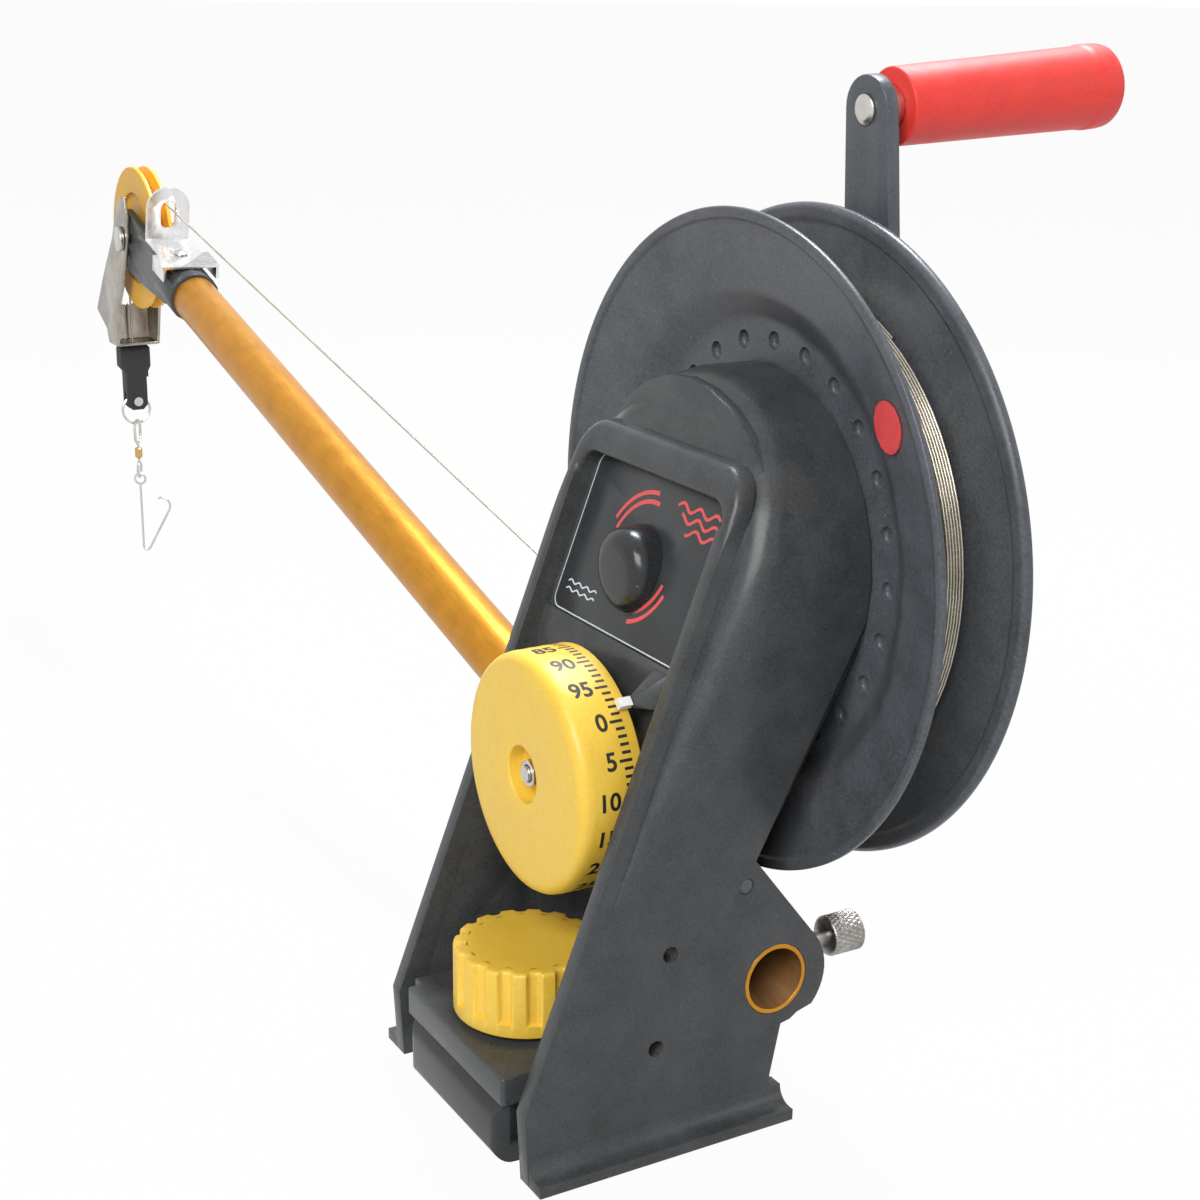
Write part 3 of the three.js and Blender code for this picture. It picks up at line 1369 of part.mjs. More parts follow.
function pulley() {
  const half = pulleyThickness / 2;
  const web = pulleyWeb / 2;
  const bore = boltRadius + pulleyBushWall + 2 * runGap;
  const rimInner = grooveRadius - pulleyRim;
  return turnX([
    [-pulleyHubHalf, bore],
    [-pulleyHubHalf, pulleyHubRadius],
    [-web, pulleyHubRadius],
    [-web, rimInner],
    [-half, rimInner],
    [-half, pulleyRadius],
    [-grooveHalfWidth, pulleyRadius],
    [-grooveFloor, grooveRadius],
    [grooveFloor, grooveRadius],
    [grooveHalfWidth, pulleyRadius],
    [half, pulleyRadius],
    [half, rimInner],
    [web, rimInner],
    [web, pulleyHubRadius],
    [pulleyHubHalf, pulleyHubRadius],
    [pulleyHubHalf, bore],
    [-pulleyHubHalf, bore],
  ], fineSteps).translate([0, pulleyAlong, 0]);
}

function pulleyBush() {
  const half = pulleyHubHalf;
  return turnX(pipe(-half, half, boltRadius + runGap, boltRadius + runGap + pulleyBushWall), smallSteps)
    .translate([0, pulleyAlong, 0]);
}

const armOuter = pulleyThickness / 2 + armGap + armThickness;
const clevisInside = armOuter + armGap;
const clevisOutside = clevisInside + clevisThickness;

function pulleyBolt() {
  const face = clevisOutside + seatGap;
  const end = face + boltHeadThickness + overrun;
  return turnX([
    [-face - boltHeadThickness, 0],
    [-face - boltHeadThickness, boltHeadRadius],
    [-face, boltHeadRadius],
    [-face, boltRadius],
    [end, boltRadius],
    [end, 0],
  ]).translate([0, pulleyAlong, 0]);
}

function pulleyNut() {
  const face = clevisOutside + seatGap;
  return hexNut(face, face + boltHeadThickness, boltRadius + seatGap, boltHeadRadius)
    .translate([0, pulleyAlong, 0]);
}

// Strap over the collar, bent up square to the boom, with the slot that the cable runs through
function cableGuard() {
  const seat = collarRadius + seatGap;
  const from = boomLength + guardStart;
  const face = boomLength + guardFace;
  const flat = box(-guardHalfWidth, guardHalfWidth, from, face, seat, seat + guardThickness);
  const upright = new THREE.ExtrudeGeometry(
    roundedRectangle(-guardHalfWidth, guardHalfWidth, seat - guardCorner, seat + guardHeight, guardCorner),
    { depth: guardThickness, bevelEnabled: false, curveSegments: 8 },
  ).rotateX(Math.PI / 2).translate(0, face, 0);
  const above = box(
    -footLength, footLength, from, face + overrun, seat, seat + guardHeight + overrun,
  );
  const slot = roundedRectangle(-slotHalfWidth, slotHalfWidth, slotLow, slotHigh, slotHalfWidth - weld);
  const slotTool = new THREE.ExtrudeGeometry(slot, { depth: footLength, bevelEnabled: false, curveSegments: 8 })
    .rotateX(Math.PI / 2).translate(0, face + footLength / 2, 0);
  const skirtInner = Math.max(guardHalfWidth, collarRadius + seatGap);
  const skirts = [-1, 1].map((side) => box(
    Math.min(side * skirtInner, side * (skirtInner + guardThickness)),
    Math.max(side * skirtInner, side * (skirtInner + guardThickness)),
    from, from + guardRivetFromTube - guardStart, guardSkirtLow, seat + guardThickness,
  ));
  const wide = box(
    -skirtInner - overrun / 2, skirtInner + overrun / 2,
    from, from + guardRivetFromTube - guardStart, seat, seat + guardThickness,
  );
  const rivet = turnZ(rod(0, footLength, rivetRadius + seatGap), smallSteps)
    .translate([0, boomLength + guardRivetFromTube, 0]);
  const body = join(flat, solid(upright).intersect(above), wide, ...skirts);
  return cut(body, rivet, solid(slotTool));
}

function guardRivet() {
  const seat = collarRadius + 2 * seatGap + guardThickness;
  const y = boomLength + guardRivetFromTube;
  return turnZ([
    [collarRadius - rivetDepth + seatGap, 0],
    [collarRadius - rivetDepth + seatGap, rivetRadius],
    [seat, rivetRadius],
    [seat, rivetHeadRadius],
    [seat + rivetHeadThickness / 2, rivetHeadRadius],
    [seat + rivetHeadThickness, rivetHeadRadius / 2],
    [seat + rivetHeadThickness, 0],
  ], smallSteps).translate([0, y, 0]);
}

// Clevis: two hooked plates hung on the pulley's bolt, joined by a web under the cable's drop
const clevisReachShares = [0, -0.14, -0.2, -0.2, -0.09, 0.065, 0.245, 0.35, 0.62, 0.68, 1, 0.71, 0.31, 0.13];
const clevisDropShares = [0.36, 0.37, 0.2, 0.04, -0.16, -0.42, -0.64, -1, -1, -0.88, -0.735, -0.407, -0.01, 0.27];

function clevis() {
  const side = outline(clevisReachShares.map((share, i) => [share * clevisReach, clevisDropShares[i] * clevisDrop]));
  const plates = [-clevisOutside, clevisInside].map((low) => slabX(side, low, low + clevisThickness));
  const web = box(
    -clevisInside - overrun / 2, clevisInside + overrun / 2, clevisWebFrom, clevisWebTo,
    -clevisDrop, clevisThickness - clevisDrop,
  );
  const back = box(
    -clevisInside - overrun / 2, clevisInside + overrun / 2, clevisWebTo - clevisThickness, clevisWebTo,
    -clevisDrop, -clevisBackDrop,
  );
  const hole = turnX(rod(-footLength, footLength, boltRadius + seatGap), smallSteps);
  const drop = turnZ(rod(-footLength, 0, clevisHoleRadius), smallSteps).translate([0, cableDropY, 0]);
  return cut(join(...plates, web, back), hole, drop);
}

// Snubber and line end, hung one below the other under the clevis, from the web down
const snubberTop = -clevisDrop - seatGap;
const snubberPinZ = snubberTop - snubberLength + snubberPinInset;
const ringZ = snubberPinZ + snubberPinRadius + seatGap - ringRadius + ringWire;
const upperEyeTop = ringZ - ringRadius + ringWire + seatGap + eyeWire;
const upperEyeFoot = upperEyeTop - upperEyeLength;
const swivelTop = upperEyeFoot - eyeStem;
const swivelFoot = swivelTop - barrelLength;
const lowerEyeZ = swivelFoot - eyeStem - lowerEyeRadius;
const snapTop = lowerEyeZ - lowerEyeRadius + eyeWire + seatGap + snapWire;
const onDrop = (body) => body.translate([0, cableDropY, 0]);

function snubber() {
  const low = snubberTop - snubberLength;
  const step = snubberTop - snubberBlock;
  const shape = outline([
    [-snubberHalfWidth + snubberRound, snubberTop],
    [-snubberHalfWidth, snubberTop - snubberRound],
    [-snubberHalfWidth, step],
    [-snubberNarrow, step - snubberStep],
    [-snubberNarrow, low + snubberRound],
    [-snubberNarrow + snubberRound, low],
    [snubberNarrow - snubberRound, low],
    [snubberNarrow, low + snubberRound],
    [snubberNarrow, step - 2 * snubberStep],
    [snubberHalfWidth - snubberStep / 2, step - 2 * snubberStep],
    [snubberHalfWidth - snubberStep / 2, step - snubberStep],
    [snubberHalfWidth, step],
    [snubberHalfWidth, snubberTop - snubberRound],
    [snubberHalfWidth - snubberRound, snubberTop],
  ]);
  const top = snubberTop - snubberHalfDepth;
  const rounded = slabX(outline([
    ...arcPoints(0, top, snubberHalfDepth, 0, 180, 10),
    [-snubberHalfDepth, low],
    [snubberHalfDepth, low],
  ]), -snubberHalfWidth, snubberHalfWidth);
  const body = slabY(shape, -snubberHalfDepth, snubberHalfDepth).intersect(rounded);
  const slot = box(
    -snubberHalfWidth - overrun, snubberHalfWidth + overrun, -snubberSlotHalf, snubberSlotHalf,
    low - overrun, low + snubberSlotDepth,
  );
  const pin = turnY(rod(-footLength, footLength, snubberPinRadius + seatGap), smallSteps)
    .translate([0, 0, snubberPinZ]);
  return onDrop(cut(body, slot, pin));
}

function snubberRivet() {
  const face = snubberHalfDepth + seatGap;
  return onDrop(turnY([
    [-face - snubberPinHeadThickness, 0],
    [-face - snubberPinHeadThickness, snubberPinHead],
    [-face, snubberPinHead],
    [-face, snubberPinRadius],
    [face, snubberPinRadius],
    [face, snubberPinHead],
    [face + snubberPinHeadThickness, snubberPinHead],
    [face + snubberPinHeadThickness, 0],
  ], smallSteps).translate([0, 0, snubberPinZ]));
}

// A wire ring lying in the X and Z plane, longer than wide by a straight middle
function wireRing(halfWidth, height, radius) {
  const straight = height / 2 - halfWidth;
  const half = wireSides + 1;
  const centres = [
    ...arcPoints(0, straight, halfWidth, 0, 180, half),
    ...arcPoints(0, -straight, halfWidth, 180 + 180 / (half + 1), 360 - 180 / (half + 1), half - 1),
  ];
  const vertices = [];
  const faces = [];
  centres.forEach(([x, z], i) => {
    const middle = i <= half ? straight : -straight;
    const outX = x / halfWidth;
    const outZ = (z - middle) / halfWidth;
    for (let k = 0; k < wireSides; k += 1) {
      const turn = (2 * Math.PI * k) / wireSides;
      const out = radius * Math.cos(turn);
      vertices.push(x + outX * out, radius * Math.sin(turn), z + outZ * out);
    }
  });
  for (let i = 0; i < centres.length; i += 1) {
    const next = (i + 1) % centres.length;
    for (let k = 0; k < wireSides; k += 1) {
      const after = (k + 1) % wireSides;
      const a = i * wireSides + k;
      const b = i * wireSides + after;
      const c = next * wireSides + k;
      const d = next * wireSides + after;
      faces.push(a, c, b, b, c, d);
    }
  }
  const geometry = new THREE.BufferGeometry();
  geometry.setAttribute('position', new THREE.BufferAttribute(Float32Array.from(vertices), 3));
  geometry.setIndex(faces);
  return solid(geometry);
}

function splitRing() {
  return onDrop(turnY(arcPoints(0, ringRadius, ringWire, 0, 360, 6), roundSteps)
    .translate([0, 0, ringZ]));
}

function swivelUpperEye() {
  const eye = wireRing(upperEyeHalf, upperEyeLength, eyeWire)
    .translate([0, 0, upperEyeTop - upperEyeLength / 2]);
  const stem = turnZ(rod(swivelTop + seatGap, upperEyeFoot + overrun, eyeWire), smallSteps);
  return onDrop(join(eye, stem).rotate([0, 0, upperEyeTurn]));
}

function swivelBarrel() {
  const round = barrelHeadRadius / 3;
  return onDrop(turnZ([
    [swivelFoot, 0],
    [swivelFoot, barrelHeadRadius - round],
    [swivelFoot + round, barrelHeadRadius],
    [swivelTop - round, barrelHeadRadius],
    [swivelTop, barrelHeadRadius - round],
    [swivelTop, 0],
  ], smallSteps));
}

function swivelLowerEye() {
  const eye = wireRing(lowerEyeRadius, 2 * lowerEyeRadius + weld, eyeWire).translate([0, 0, lowerEyeZ]);
  const stem = turnZ(
    rod(lowerEyeZ + lowerEyeRadius - overrun / 2, swivelFoot - seatGap, eyeWire), smallSteps,
  );
  return onDrop(join(eye, stem).rotate([0, 0, lowerEyeTurn]));
}

// The snap: one wire, straight down from its eye, bent back up at an angle to an open hook
function snapHook() {
  const eye = wireRing(snapEyeRadius, 2 * snapEyeRadius + weld, snapWire)
    .translate([0, 0, snapTop - snapEyeRadius]);
  const low = snapTop - snapLength + snapWire;
  const lean = Math.atan2(snapReach - snapBend, snapLength - snapReachDrop) / degree;
  const hook = arcPoints(snapReach - snapHookRadius, -snapReachDrop, snapHookRadius, -lean, snapHookSweep, 7);
  const path = [
    [0, snapTop - 2 * snapEyeRadius + snapWire],
    ...arcPoints(snapBend, low + snapBend, snapBend, 180, 360 - lean, 6),
    ...hook.map(([a, b]) => [a, snapTop + b]),
  ];
  const bow = tubeAlong(path.map(([a, b]) => new THREE.Vector3(a, 0, b)), snapWire, wireSides);
  return onDrop(join(eye, bow).rotate([0, 0, snapTurn]));
}

// The free cable: from the drum, straight to the pulley, round it, and down to the snubber
function cablePoints() {
  const points = windingPath();
  const start = points[points.length - 1];
  const ahead = start.clone().sub(points[points.length - 2]).normalize();
  const centre = new THREE.Vector3(boomX, pulleyY, pulleyZ);
  const reach = cableDropY;
  const from = start.clone().addScaledVector(ahead, seatGap);
  const route = [from];
  const apart = Math.hypot(centre.y - from.y, centre.z - from.z);
  const bearing = Math.atan2(from.z - centre.z, from.y - centre.y);
  const touch = bearing + 2 * Math.PI - Math.acos(reach / apart);
  const onPulley = (turn) => new THREE.Vector3(
    boomX, centre.y + reach * Math.cos(turn), centre.z + reach * Math.sin(turn),
  );
  for (let i = 1; i < straightSteps; i += 1) route.push(from.clone().lerp(onPulley(touch), i / straightSteps));
  for (let i = 0; i <= wrapSteps; i += 1) route.push(onPulley(touch * (1 - i / wrapSteps)));
  route.push(new THREE.Vector3(boomX, centre.y + reach, pulleyZ + snubberTop + seatGap));
  return route;
}

const winding = windingPath();
const windingGap = leastGap(winding, windSteps - 1);
console.log(`least gap of the winding to itself: ${windingGap.toFixed(2)} mm`);
const [pointerArm, pointerTip] = pointer();

place('frame', frame(), blackPlastic);
place('face_plate', facePlate(), plateBlack);
place('axle_cap', axleCap(), blackPlastic);
place('gear_cover', gearCover(), blackPlastic);
place('cover_screw_near', coverScrew(-1), blackCrank);
place('cover_screw_far', coverScrew(1), blackCrank);
place('clamp_block', clampBlock(), blackPlastic);
place('mounting_base', mountingBase(), blackPlastic);
place('lock_knob', lockKnob(), yellowPlastic);
place('lock_stud', lockStud(), stainless);
place('lock_washer', lockWasher(), stainless);
place('pointer', pointerArm, blackPlastic);
place('pointer_tip', pointerTip, whitePlastic);
place('depth_dial', depthDial(), yellowPlastic);
place('dial_shaft', dialShaft(), stainless);
place('dial_nut', dialNut(), stainless);
place('dial_bush', dialBush(), brass);
place('dial_gear', dialGear(), gearPlastic);
place('compound_gear', compoundGear(), gearPlastic);
place('idler_pin', idlerPin(), stainless);
place('drive_sleeve', driveSleeve(), stainless);
place('bush_front', bush(diaphragmStart, false), brass);
place('bush_rear', bush(bearingBossEnd - bushLength, true), brass);
place('axle', axle(), stainless);
place('spool_front_flange', spoolFrontFlange(), blackPlastic);
place('spool_drum', spoolDrum(), blackPlastic);
place('spool_rear_flange', spoolRearFlange(), blackPlastic);
place('red_marker', redMarker(), redMark);
place('cable_core', cableCore(), cableSteel);
place('cable_winding', tubeAlong(winding, cableRadius, windSides), cableSteel);
place('cable_line', tubeAlong(cablePoints(), cableRadius, cordSides), cableSteel);
place('click_pin', clickPin(), stainless);
place('click_spring', clickSpring(), stainless);
place('crank_arm', crankArm(), blackCrank);
place('friction_disc', frictionDisc(), blackRubber);
place('axle_nut', axleNut(), stainless);
place('grip_pin', gripPin(), stainless);
place('crank_grip', crankGrip(), redGrip);
place('crank_washer', crankWasher(), stainless);
place('boom_tube', boomTube(), goldAnodised, boomHead);
place('thumbscrew', thumbscrew(), stainless);
place('tip_yoke', tipYoke(), blackPlastic, boomHead);
place('pulley', pulley(), yellowPlastic, boomHead);
place('pulley_bush', pulleyBush(), brass, boomHead);
place('pulley_bolt', pulleyBolt(), stainless, boomHead);
place('pulley_nut', pulleyNut(), stainless, boomHead);
place('cable_guard', cableGuard(), stainless, boomHead);
place('guard_rivet', guardRivet(), stainless, boomHead);
place('clevis', clevis(), stainless, headEnd);
place('snubber', snubber(), blackRubber, headEnd);
place('snubber_rivet', snubberRivet(), stainless, headEnd);
place('split_ring', splitRing(), stainless, headEnd);
place('swivel_upper_eye', swivelUpperEye(), stainless, headEnd);
place('swivel_barrel', swivelBarrel(), brass, headEnd);
place('swivel_lower_eye', swivelLowerEye(), stainless, headEnd);
place('snap_hook', snapHook(), stainless, headEnd);

export default downrigger;
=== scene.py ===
# A downrigger for deep trolling: a frame with a depth dial, a spool of cable on its side
# with a crank, and a boom with a pulley head that carries a snubber, a swivel and a snap.
# Lengths in this file are millimetres until they are turned into metres by MM.
import json
import math

import bmesh
import bpy
from mathutils import Matrix, Vector

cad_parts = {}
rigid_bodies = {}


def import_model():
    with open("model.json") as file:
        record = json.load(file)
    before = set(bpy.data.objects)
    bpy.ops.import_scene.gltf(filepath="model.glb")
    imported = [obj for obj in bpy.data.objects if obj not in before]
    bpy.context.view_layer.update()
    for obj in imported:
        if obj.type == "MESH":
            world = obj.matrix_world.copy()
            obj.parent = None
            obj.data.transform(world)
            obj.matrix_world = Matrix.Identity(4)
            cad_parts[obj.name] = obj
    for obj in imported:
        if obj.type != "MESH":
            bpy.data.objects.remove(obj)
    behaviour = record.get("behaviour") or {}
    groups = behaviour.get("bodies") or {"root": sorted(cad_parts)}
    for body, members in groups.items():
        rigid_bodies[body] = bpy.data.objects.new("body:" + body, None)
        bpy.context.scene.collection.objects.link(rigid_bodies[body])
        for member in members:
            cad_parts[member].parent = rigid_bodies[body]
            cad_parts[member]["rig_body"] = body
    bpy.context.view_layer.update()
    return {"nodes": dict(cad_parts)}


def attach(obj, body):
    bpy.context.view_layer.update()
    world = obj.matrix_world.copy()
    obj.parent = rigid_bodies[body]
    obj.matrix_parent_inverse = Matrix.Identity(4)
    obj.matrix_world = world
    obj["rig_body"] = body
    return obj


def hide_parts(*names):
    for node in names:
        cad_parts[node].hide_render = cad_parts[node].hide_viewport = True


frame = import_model()
scene = bpy.context.scene
MM = 0.001

# Camera: the photograph's place, direction and angle of view
yaw = math.radians(30.28)
pitch = math.radians(17.23)
roll = math.radians(0.78)
flat = Vector((math.sin(yaw), math.cos(yaw), 0))
look = flat * math.cos(pitch) - Vector((0, 0, math.sin(pitch)))
level = Vector((math.cos(yaw), -math.sin(yaw), 0))
upright = level.cross(look)
right = level * math.cos(roll) + upright * math.sin(roll)
up = upright * math.cos(roll) - level * math.sin(roll)
lens = bpy.data.cameras.new("camera")
lens.lens = 60.097
lens.sensor_width = 36
lens.clip_end = 200
camera = bpy.data.objects.new("camera", lens)
camera.matrix_world = Matrix.Translation((-0.3329, -0.5776, 0.3947)) @ Matrix(
    (right, up, -look)
).transposed().to_4x4()
scene.collection.objects.link(camera)
scene.camera = camera

# Places shared with the frame
SPOOL_FRONT = 57.5
AXLE_Z = 201
DIAL_Z = 127.5
DIAL_RADIUS = 43.5
BOOM_X = 48
BUTT_Y = -53.8
BOOM_TILT = math.radians(15)
BUTT_Z = 68 + BUTT_Y * math.tan(BOOM_TILT)
PULLEY_ALONG = 716
PULLEY_Y = BUTT_Y + PULLEY_ALONG * math.cos(BOOM_TILT)
PULLEY_Z = BUTT_Z + PULLEY_ALONG * math.sin(BOOM_TILT)
FACE_LEAN = 0.38

on_spool = Matrix.Translation((SPOOL_FRONT, 0, AXLE_Z))
on_dial = Matrix.Translation((0, 0, DIAL_Z))
on_lean = Matrix.Translation((118.8, 0, AXLE_Z)) @ Matrix.Rotation(math.radians(-3.5), 4, "Y")
on_crank = on_lean @ Matrix.Translation((0, 0, 151.5))
on_boom = Matrix.Translation((BOOM_X, BUTT_Y, BUTT_Z)) @ Matrix.Rotation(BOOM_TILT, 4, "X")
on_pulley = on_boom @ Matrix.Translation((0, PULLEY_ALONG, 0))
x_to_z = Matrix(((0, 0, 1, 0), (1, 0, 0, 0), (0, 1, 0, 0), (0, 0, 0, 1))).transposed()
x_to_y = Matrix(((0, 0, 1, 0), (1, 0, 0, 0), (0, 1, 0, 0), (0, 0, 0, 1)))


# Materials
def new_material(name):
    material = bpy.data.materials.new(name)
    material.use_nodes = True
    tree = material.node_tree
    tree.nodes.clear()
    output = tree.nodes.new("ShaderNodeOutputMaterial")
    shader = tree.nodes.new("ShaderNodeBsdfPrincipled")
    tree.links.new(shader.outputs["BSDF"], output.inputs["Surface"])
    return material, tree, shader


def place_in_object(tree, stretch=(1, 1, 1)):
    where = tree.nodes.new("ShaderNodeTexCoord")
    mapping = tree.nodes.new("ShaderNodeMapping")
    mapping.inputs["Scale"].default_value = stretch
    tree.links.new(where.outputs["Object"], mapping.inputs["Vector"])
    return mapping.outputs["Vector"]


def noise(tree, vector, scale, detail=3.0, rough=0.55):
    node = tree.nodes.new("ShaderNodeTexNoise")
    node.inputs["Scale"].default_value = scale
    node.inputs["Detail"].default_value = detail
    node.inputs["Roughness"].default_value = rough
    tree.links.new(vector, node.inputs["Vector"])
    return node.outputs["Fac"]


def ramp(tree, value, stops):
    node = tree.nodes.new("ShaderNodeValToRGB")
    marks = node.color_ramp.elements
    while len(marks) < len(stops):
        marks.new(0.5)
    for mark, (place, colour) in zip(marks, stops):
        mark.position = place
        mark.color = (*colour, 1)
    tree.links.new(value, node.inputs["Fac"])
    return node.outputs["Color"]


def span(tree, value, low, high, start=0.3, end=0.7):
    node = tree.nodes.new("ShaderNodeMapRange")
    node.inputs["From Min"].default_value = start
    node.inputs["From Max"].default_value = end
    node.inputs["To Min"].default_value = low
    node.inputs["To Max"].default_value = high
    tree.links.new(value, node.inputs["Value"])
    return node.outputs["Result"]


def bump(tree, height, depth):
    node = tree.nodes.new("ShaderNodeBump")
    node.inputs["Strength"].default_value = 1
    node.inputs["Distance"].default_value = depth * MM
    tree.links.new(height, node.inputs["Height"])
    return node.outputs["Normal"]


def moulded(
    name, dark, light, rough, grain=1100, depth=0.05, patch=60, spread=0.08, specks=None, shine=0.5,
):
    """Moulded plastic: a fine grain in the surface, broad patches in the colour, and specks of dust."""
    material, tree, shader = new_material(name)
    vector = place_in_object(tree)
    fine = noise(tree, vector, grain, 4, 0.6)
    broad = noise(tree, vector, patch, 5, 0.62)
    blend = tree.nodes.new("ShaderNodeMix")
    blend.inputs["Factor"].default_value = 0.45
    tree.links.new(fine, blend.inputs[2])
    tree.links.new(broad, blend.inputs[3])
    colour = ramp(tree, blend.outputs[0], [(0.36, dark), (0.64, light)])
    if specks:
        mask = noise(tree, vector, specks[0], 2, 0.5)
        fleck = ramp(tree, mask, [(specks[1], (0, 0, 0)), (specks[1] + 0.05, (1, 1, 1))])
        layer = tree.nodes.new("ShaderNodeMix")
        layer.data_type = "RGBA"
        tree.links.new(fleck, layer.inputs["Factor"])
        tree.links.new(colour, layer.inputs[6])
        layer.inputs[7].default_value = (*specks[2], 1)
        colour = layer.outputs[2]
    tree.links.new(colour, shader.inputs["Base Color"])
    tree.links.new(span(tree, broad, rough - spread, rough + spread), shader.inputs["Roughness"])
    shader.inputs["Specular IOR Level"].default_value = shine
    tree.links.new(bump(tree, fine, depth), shader.inputs["Normal"])
    return material


def metal(name, dark, light, rough, along=(1, 1, 1), grain=500, depth=0.01, metallic=1.0, spread=0.06):
    """Metal with fine marks drawn along one direction and faint clouding."""
    material, tree, shader = new_material(name)
    vector = place_in_object(tree, along)
    marks = noise(tree, vector, grain, 4, 0.65)
    cloud = noise(tree, place_in_object(tree), 90, 3, 0.5)
    blend = tree.nodes.new("ShaderNodeMix")
    blend.inputs["Factor"].default_value = 0.5
    tree.links.new(marks, blend.inputs[2])
    tree.links.new(cloud, blend.inputs[3])
    colour = ramp(tree, blend.outputs[0], [(0.34, dark), (0.66, light)])
    tree.links.new(colour, shader.inputs["Base Color"])
    shader.inputs["Metallic"].default_value = metallic
    tree.links.new(span(tree, marks, rough - spread, rough + spread), shader.inputs["Roughness"])
    tree.links.new(bump(tree, marks, depth), shader.inputs["Normal"])
    return material


finishes = {
    "black_housing": moulded(
        "black_housing", (0.040, 0.042, 0.043), (0.076, 0.079, 0.081), 0.30, depth=0.03, shine=0.27,
        specks=(700, 0.73, (0.13, 0.14, 0.15)),
    ),
    "black_spool": moulded(
        "black_spool", (0.056, 0.060, 0.066), (0.108, 0.116, 0.128), 0.34, grain=900, depth=0.05, shine=0.3,
        specks=(620, 0.71, (0.17, 0.18, 0.20)),
    ),
    "black_gloss": moulded(
        "black_gloss", (0.016, 0.017, 0.018), (0.032, 0.034, 0.037), 0.22,
        shine=0.35, grain=900, depth=0.015,
        specks=(700, 0.73, (0.14, 0.15, 0.16)),
    ),
    # A dull brown copy of the gold: painted shade for the inside of the boom tube
    "tube_inside_painted_shade": metal(
        "tube_inside_painted_shade", (0.16, 0.075, 0.025), (0.26, 0.13, 0.045), 0.5, along=(1, 0.06, 0.3), metallic=0.3,
    ),
    "plate_black": moulded(
        "plate_black", (0.030, 0.032, 0.034), (0.046, 0.049, 0.052), 0.30, grain=1600, depth=0.01, shine=0.3,
    ),
    "yellow_plastic": moulded(
        "yellow_plastic", (0.82, 0.51, 0.05), (0.88, 0.59, 0.075), 0.40, grain=700, depth=0.015, patch=35,
    ),
    "white_plastic": moulded("white_plastic", (0.80, 0.79, 0.76), (0.90, 0.89, 0.87), 0.4, depth=0.01),
    "red_mark": moulded("red_mark", (0.72, 0.055, 0.06), (0.82, 0.085, 0.085), 0.45, depth=0.01),
    "red_grip": moulded(
        "red_grip", (0.74, 0.034, 0.026), (0.88, 0.058, 0.042), 0.5, grain=1300, depth=0.05, patch=90,
    ),
    "black_rubber": moulded("black_rubber", (0.014, 0.014, 0.014), (0.030, 0.030, 0.030), 0.7, depth=0.04),
    "black_crank": moulded(
        "black_crank", (0.060, 0.065, 0.073), (0.108, 0.116, 0.130), 0.34,
        grain=1300, depth=0.025, shine=0.35,
        specks=(700, 0.70, (0.15, 0.16, 0.17)),
    ),
    "gear_plastic": moulded("gear_plastic", (0.74, 0.69, 0.58), (0.84, 0.80, 0.70), 0.45, depth=0.01),
    "print_black": moulded("print_black", (0.010, 0.010, 0.010), (0.022, 0.021, 0.020), 0.5, depth=0.005),
    "print_red": moulded("print_red", (0.70, 0.075, 0.07), (0.80, 0.11, 0.10), 0.45, depth=0.005),
    # Pale print for the plate's lines, and also the painted highlight along the plate's edge
    "pale_print_and_edge_highlight": moulded("pale_print_and_edge_highlight", (0.62, 0.72, 0.78), (0.78, 0.86, 0.90), 0.45, depth=0.005),
    "gold_anodised": metal(
        "gold_anodised", (0.48, 0.20, 0.012), (0.60, 0.265, 0.02), 0.36,
        along=(1, 0.06, 0.3), grain=900, depth=0.006, metallic=0.75,
    ),
    "stainless": metal("stainless", (0.50, 0.48, 0.45), (0.66, 0.64, 0.60), 0.27, along=(1, 1, 0.15)),
    "bright_strap": metal("bright_strap", (0.72, 0.72, 0.72), (0.84, 0.84, 0.84), 0.24, along=(1, 1, 0.15)),
    "dark_steel": metal("dark_steel", (0.26, 0.235, 0.20), (0.46, 0.425, 0.37), 0.25, along=(1, 1, 0.15)),
    "knurled_steel": metal("knurled_steel", (0.20, 0.19, 0.18), (0.44, 0.42, 0.39), 0.34),
    "orange_plastic": moulded(
        "orange_plastic", (0.84, 0.42, 0.025), (0.90, 0.49, 0.045), 0.42, grain=700, depth=0.015, patch=35,
    ),
    "cable_steel": metal("cable_steel", (0.42, 0.38, 0.31), (0.66, 0.61, 0.52), 0.34, grain=1500, depth=0.03),
    "brass": metal("brass", (0.50, 0.33, 0.12), (0.68, 0.47, 0.19), 0.32),
}


# Mesh helpers
def finish_mesh(mesh, name, body, slot, stands_for=(), smooth=34, finish=None):
    mesh.shade_smooth()
    mesh.set_sharp_from_angle(angle=math.radians(smooth))
    mesh.materials.clear()
    mesh.materials.append(finishes[finish or slot])
    piece = bpy.data.objects.new(name, mesh)
    scene.collection.objects.link(piece)
    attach(piece, body)
    if stands_for:
        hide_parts(*stands_for)
    return piece


def mesh_piece(name, points, faces, body, slot, stands_for=(), at=None, smooth=34, finish=None):
    at = at or Matrix.Identity(4)
    mesh = bpy.data.meshes.new(name)
    mesh.from_pydata([tuple((at @ Vector(p)) * MM) for p in points], [], faces)
    build = bmesh.new()
    build.from_mesh(mesh)
    bmesh.ops.remove_doubles(build, verts=build.verts, dist=2e-6)
    bmesh.ops.recalc_face_normals(build, faces=build.faces)
    build.to_mesh(mesh)
    build.free()
    return finish_mesh(mesh, name, body, slot, stands_for, smooth, finish)


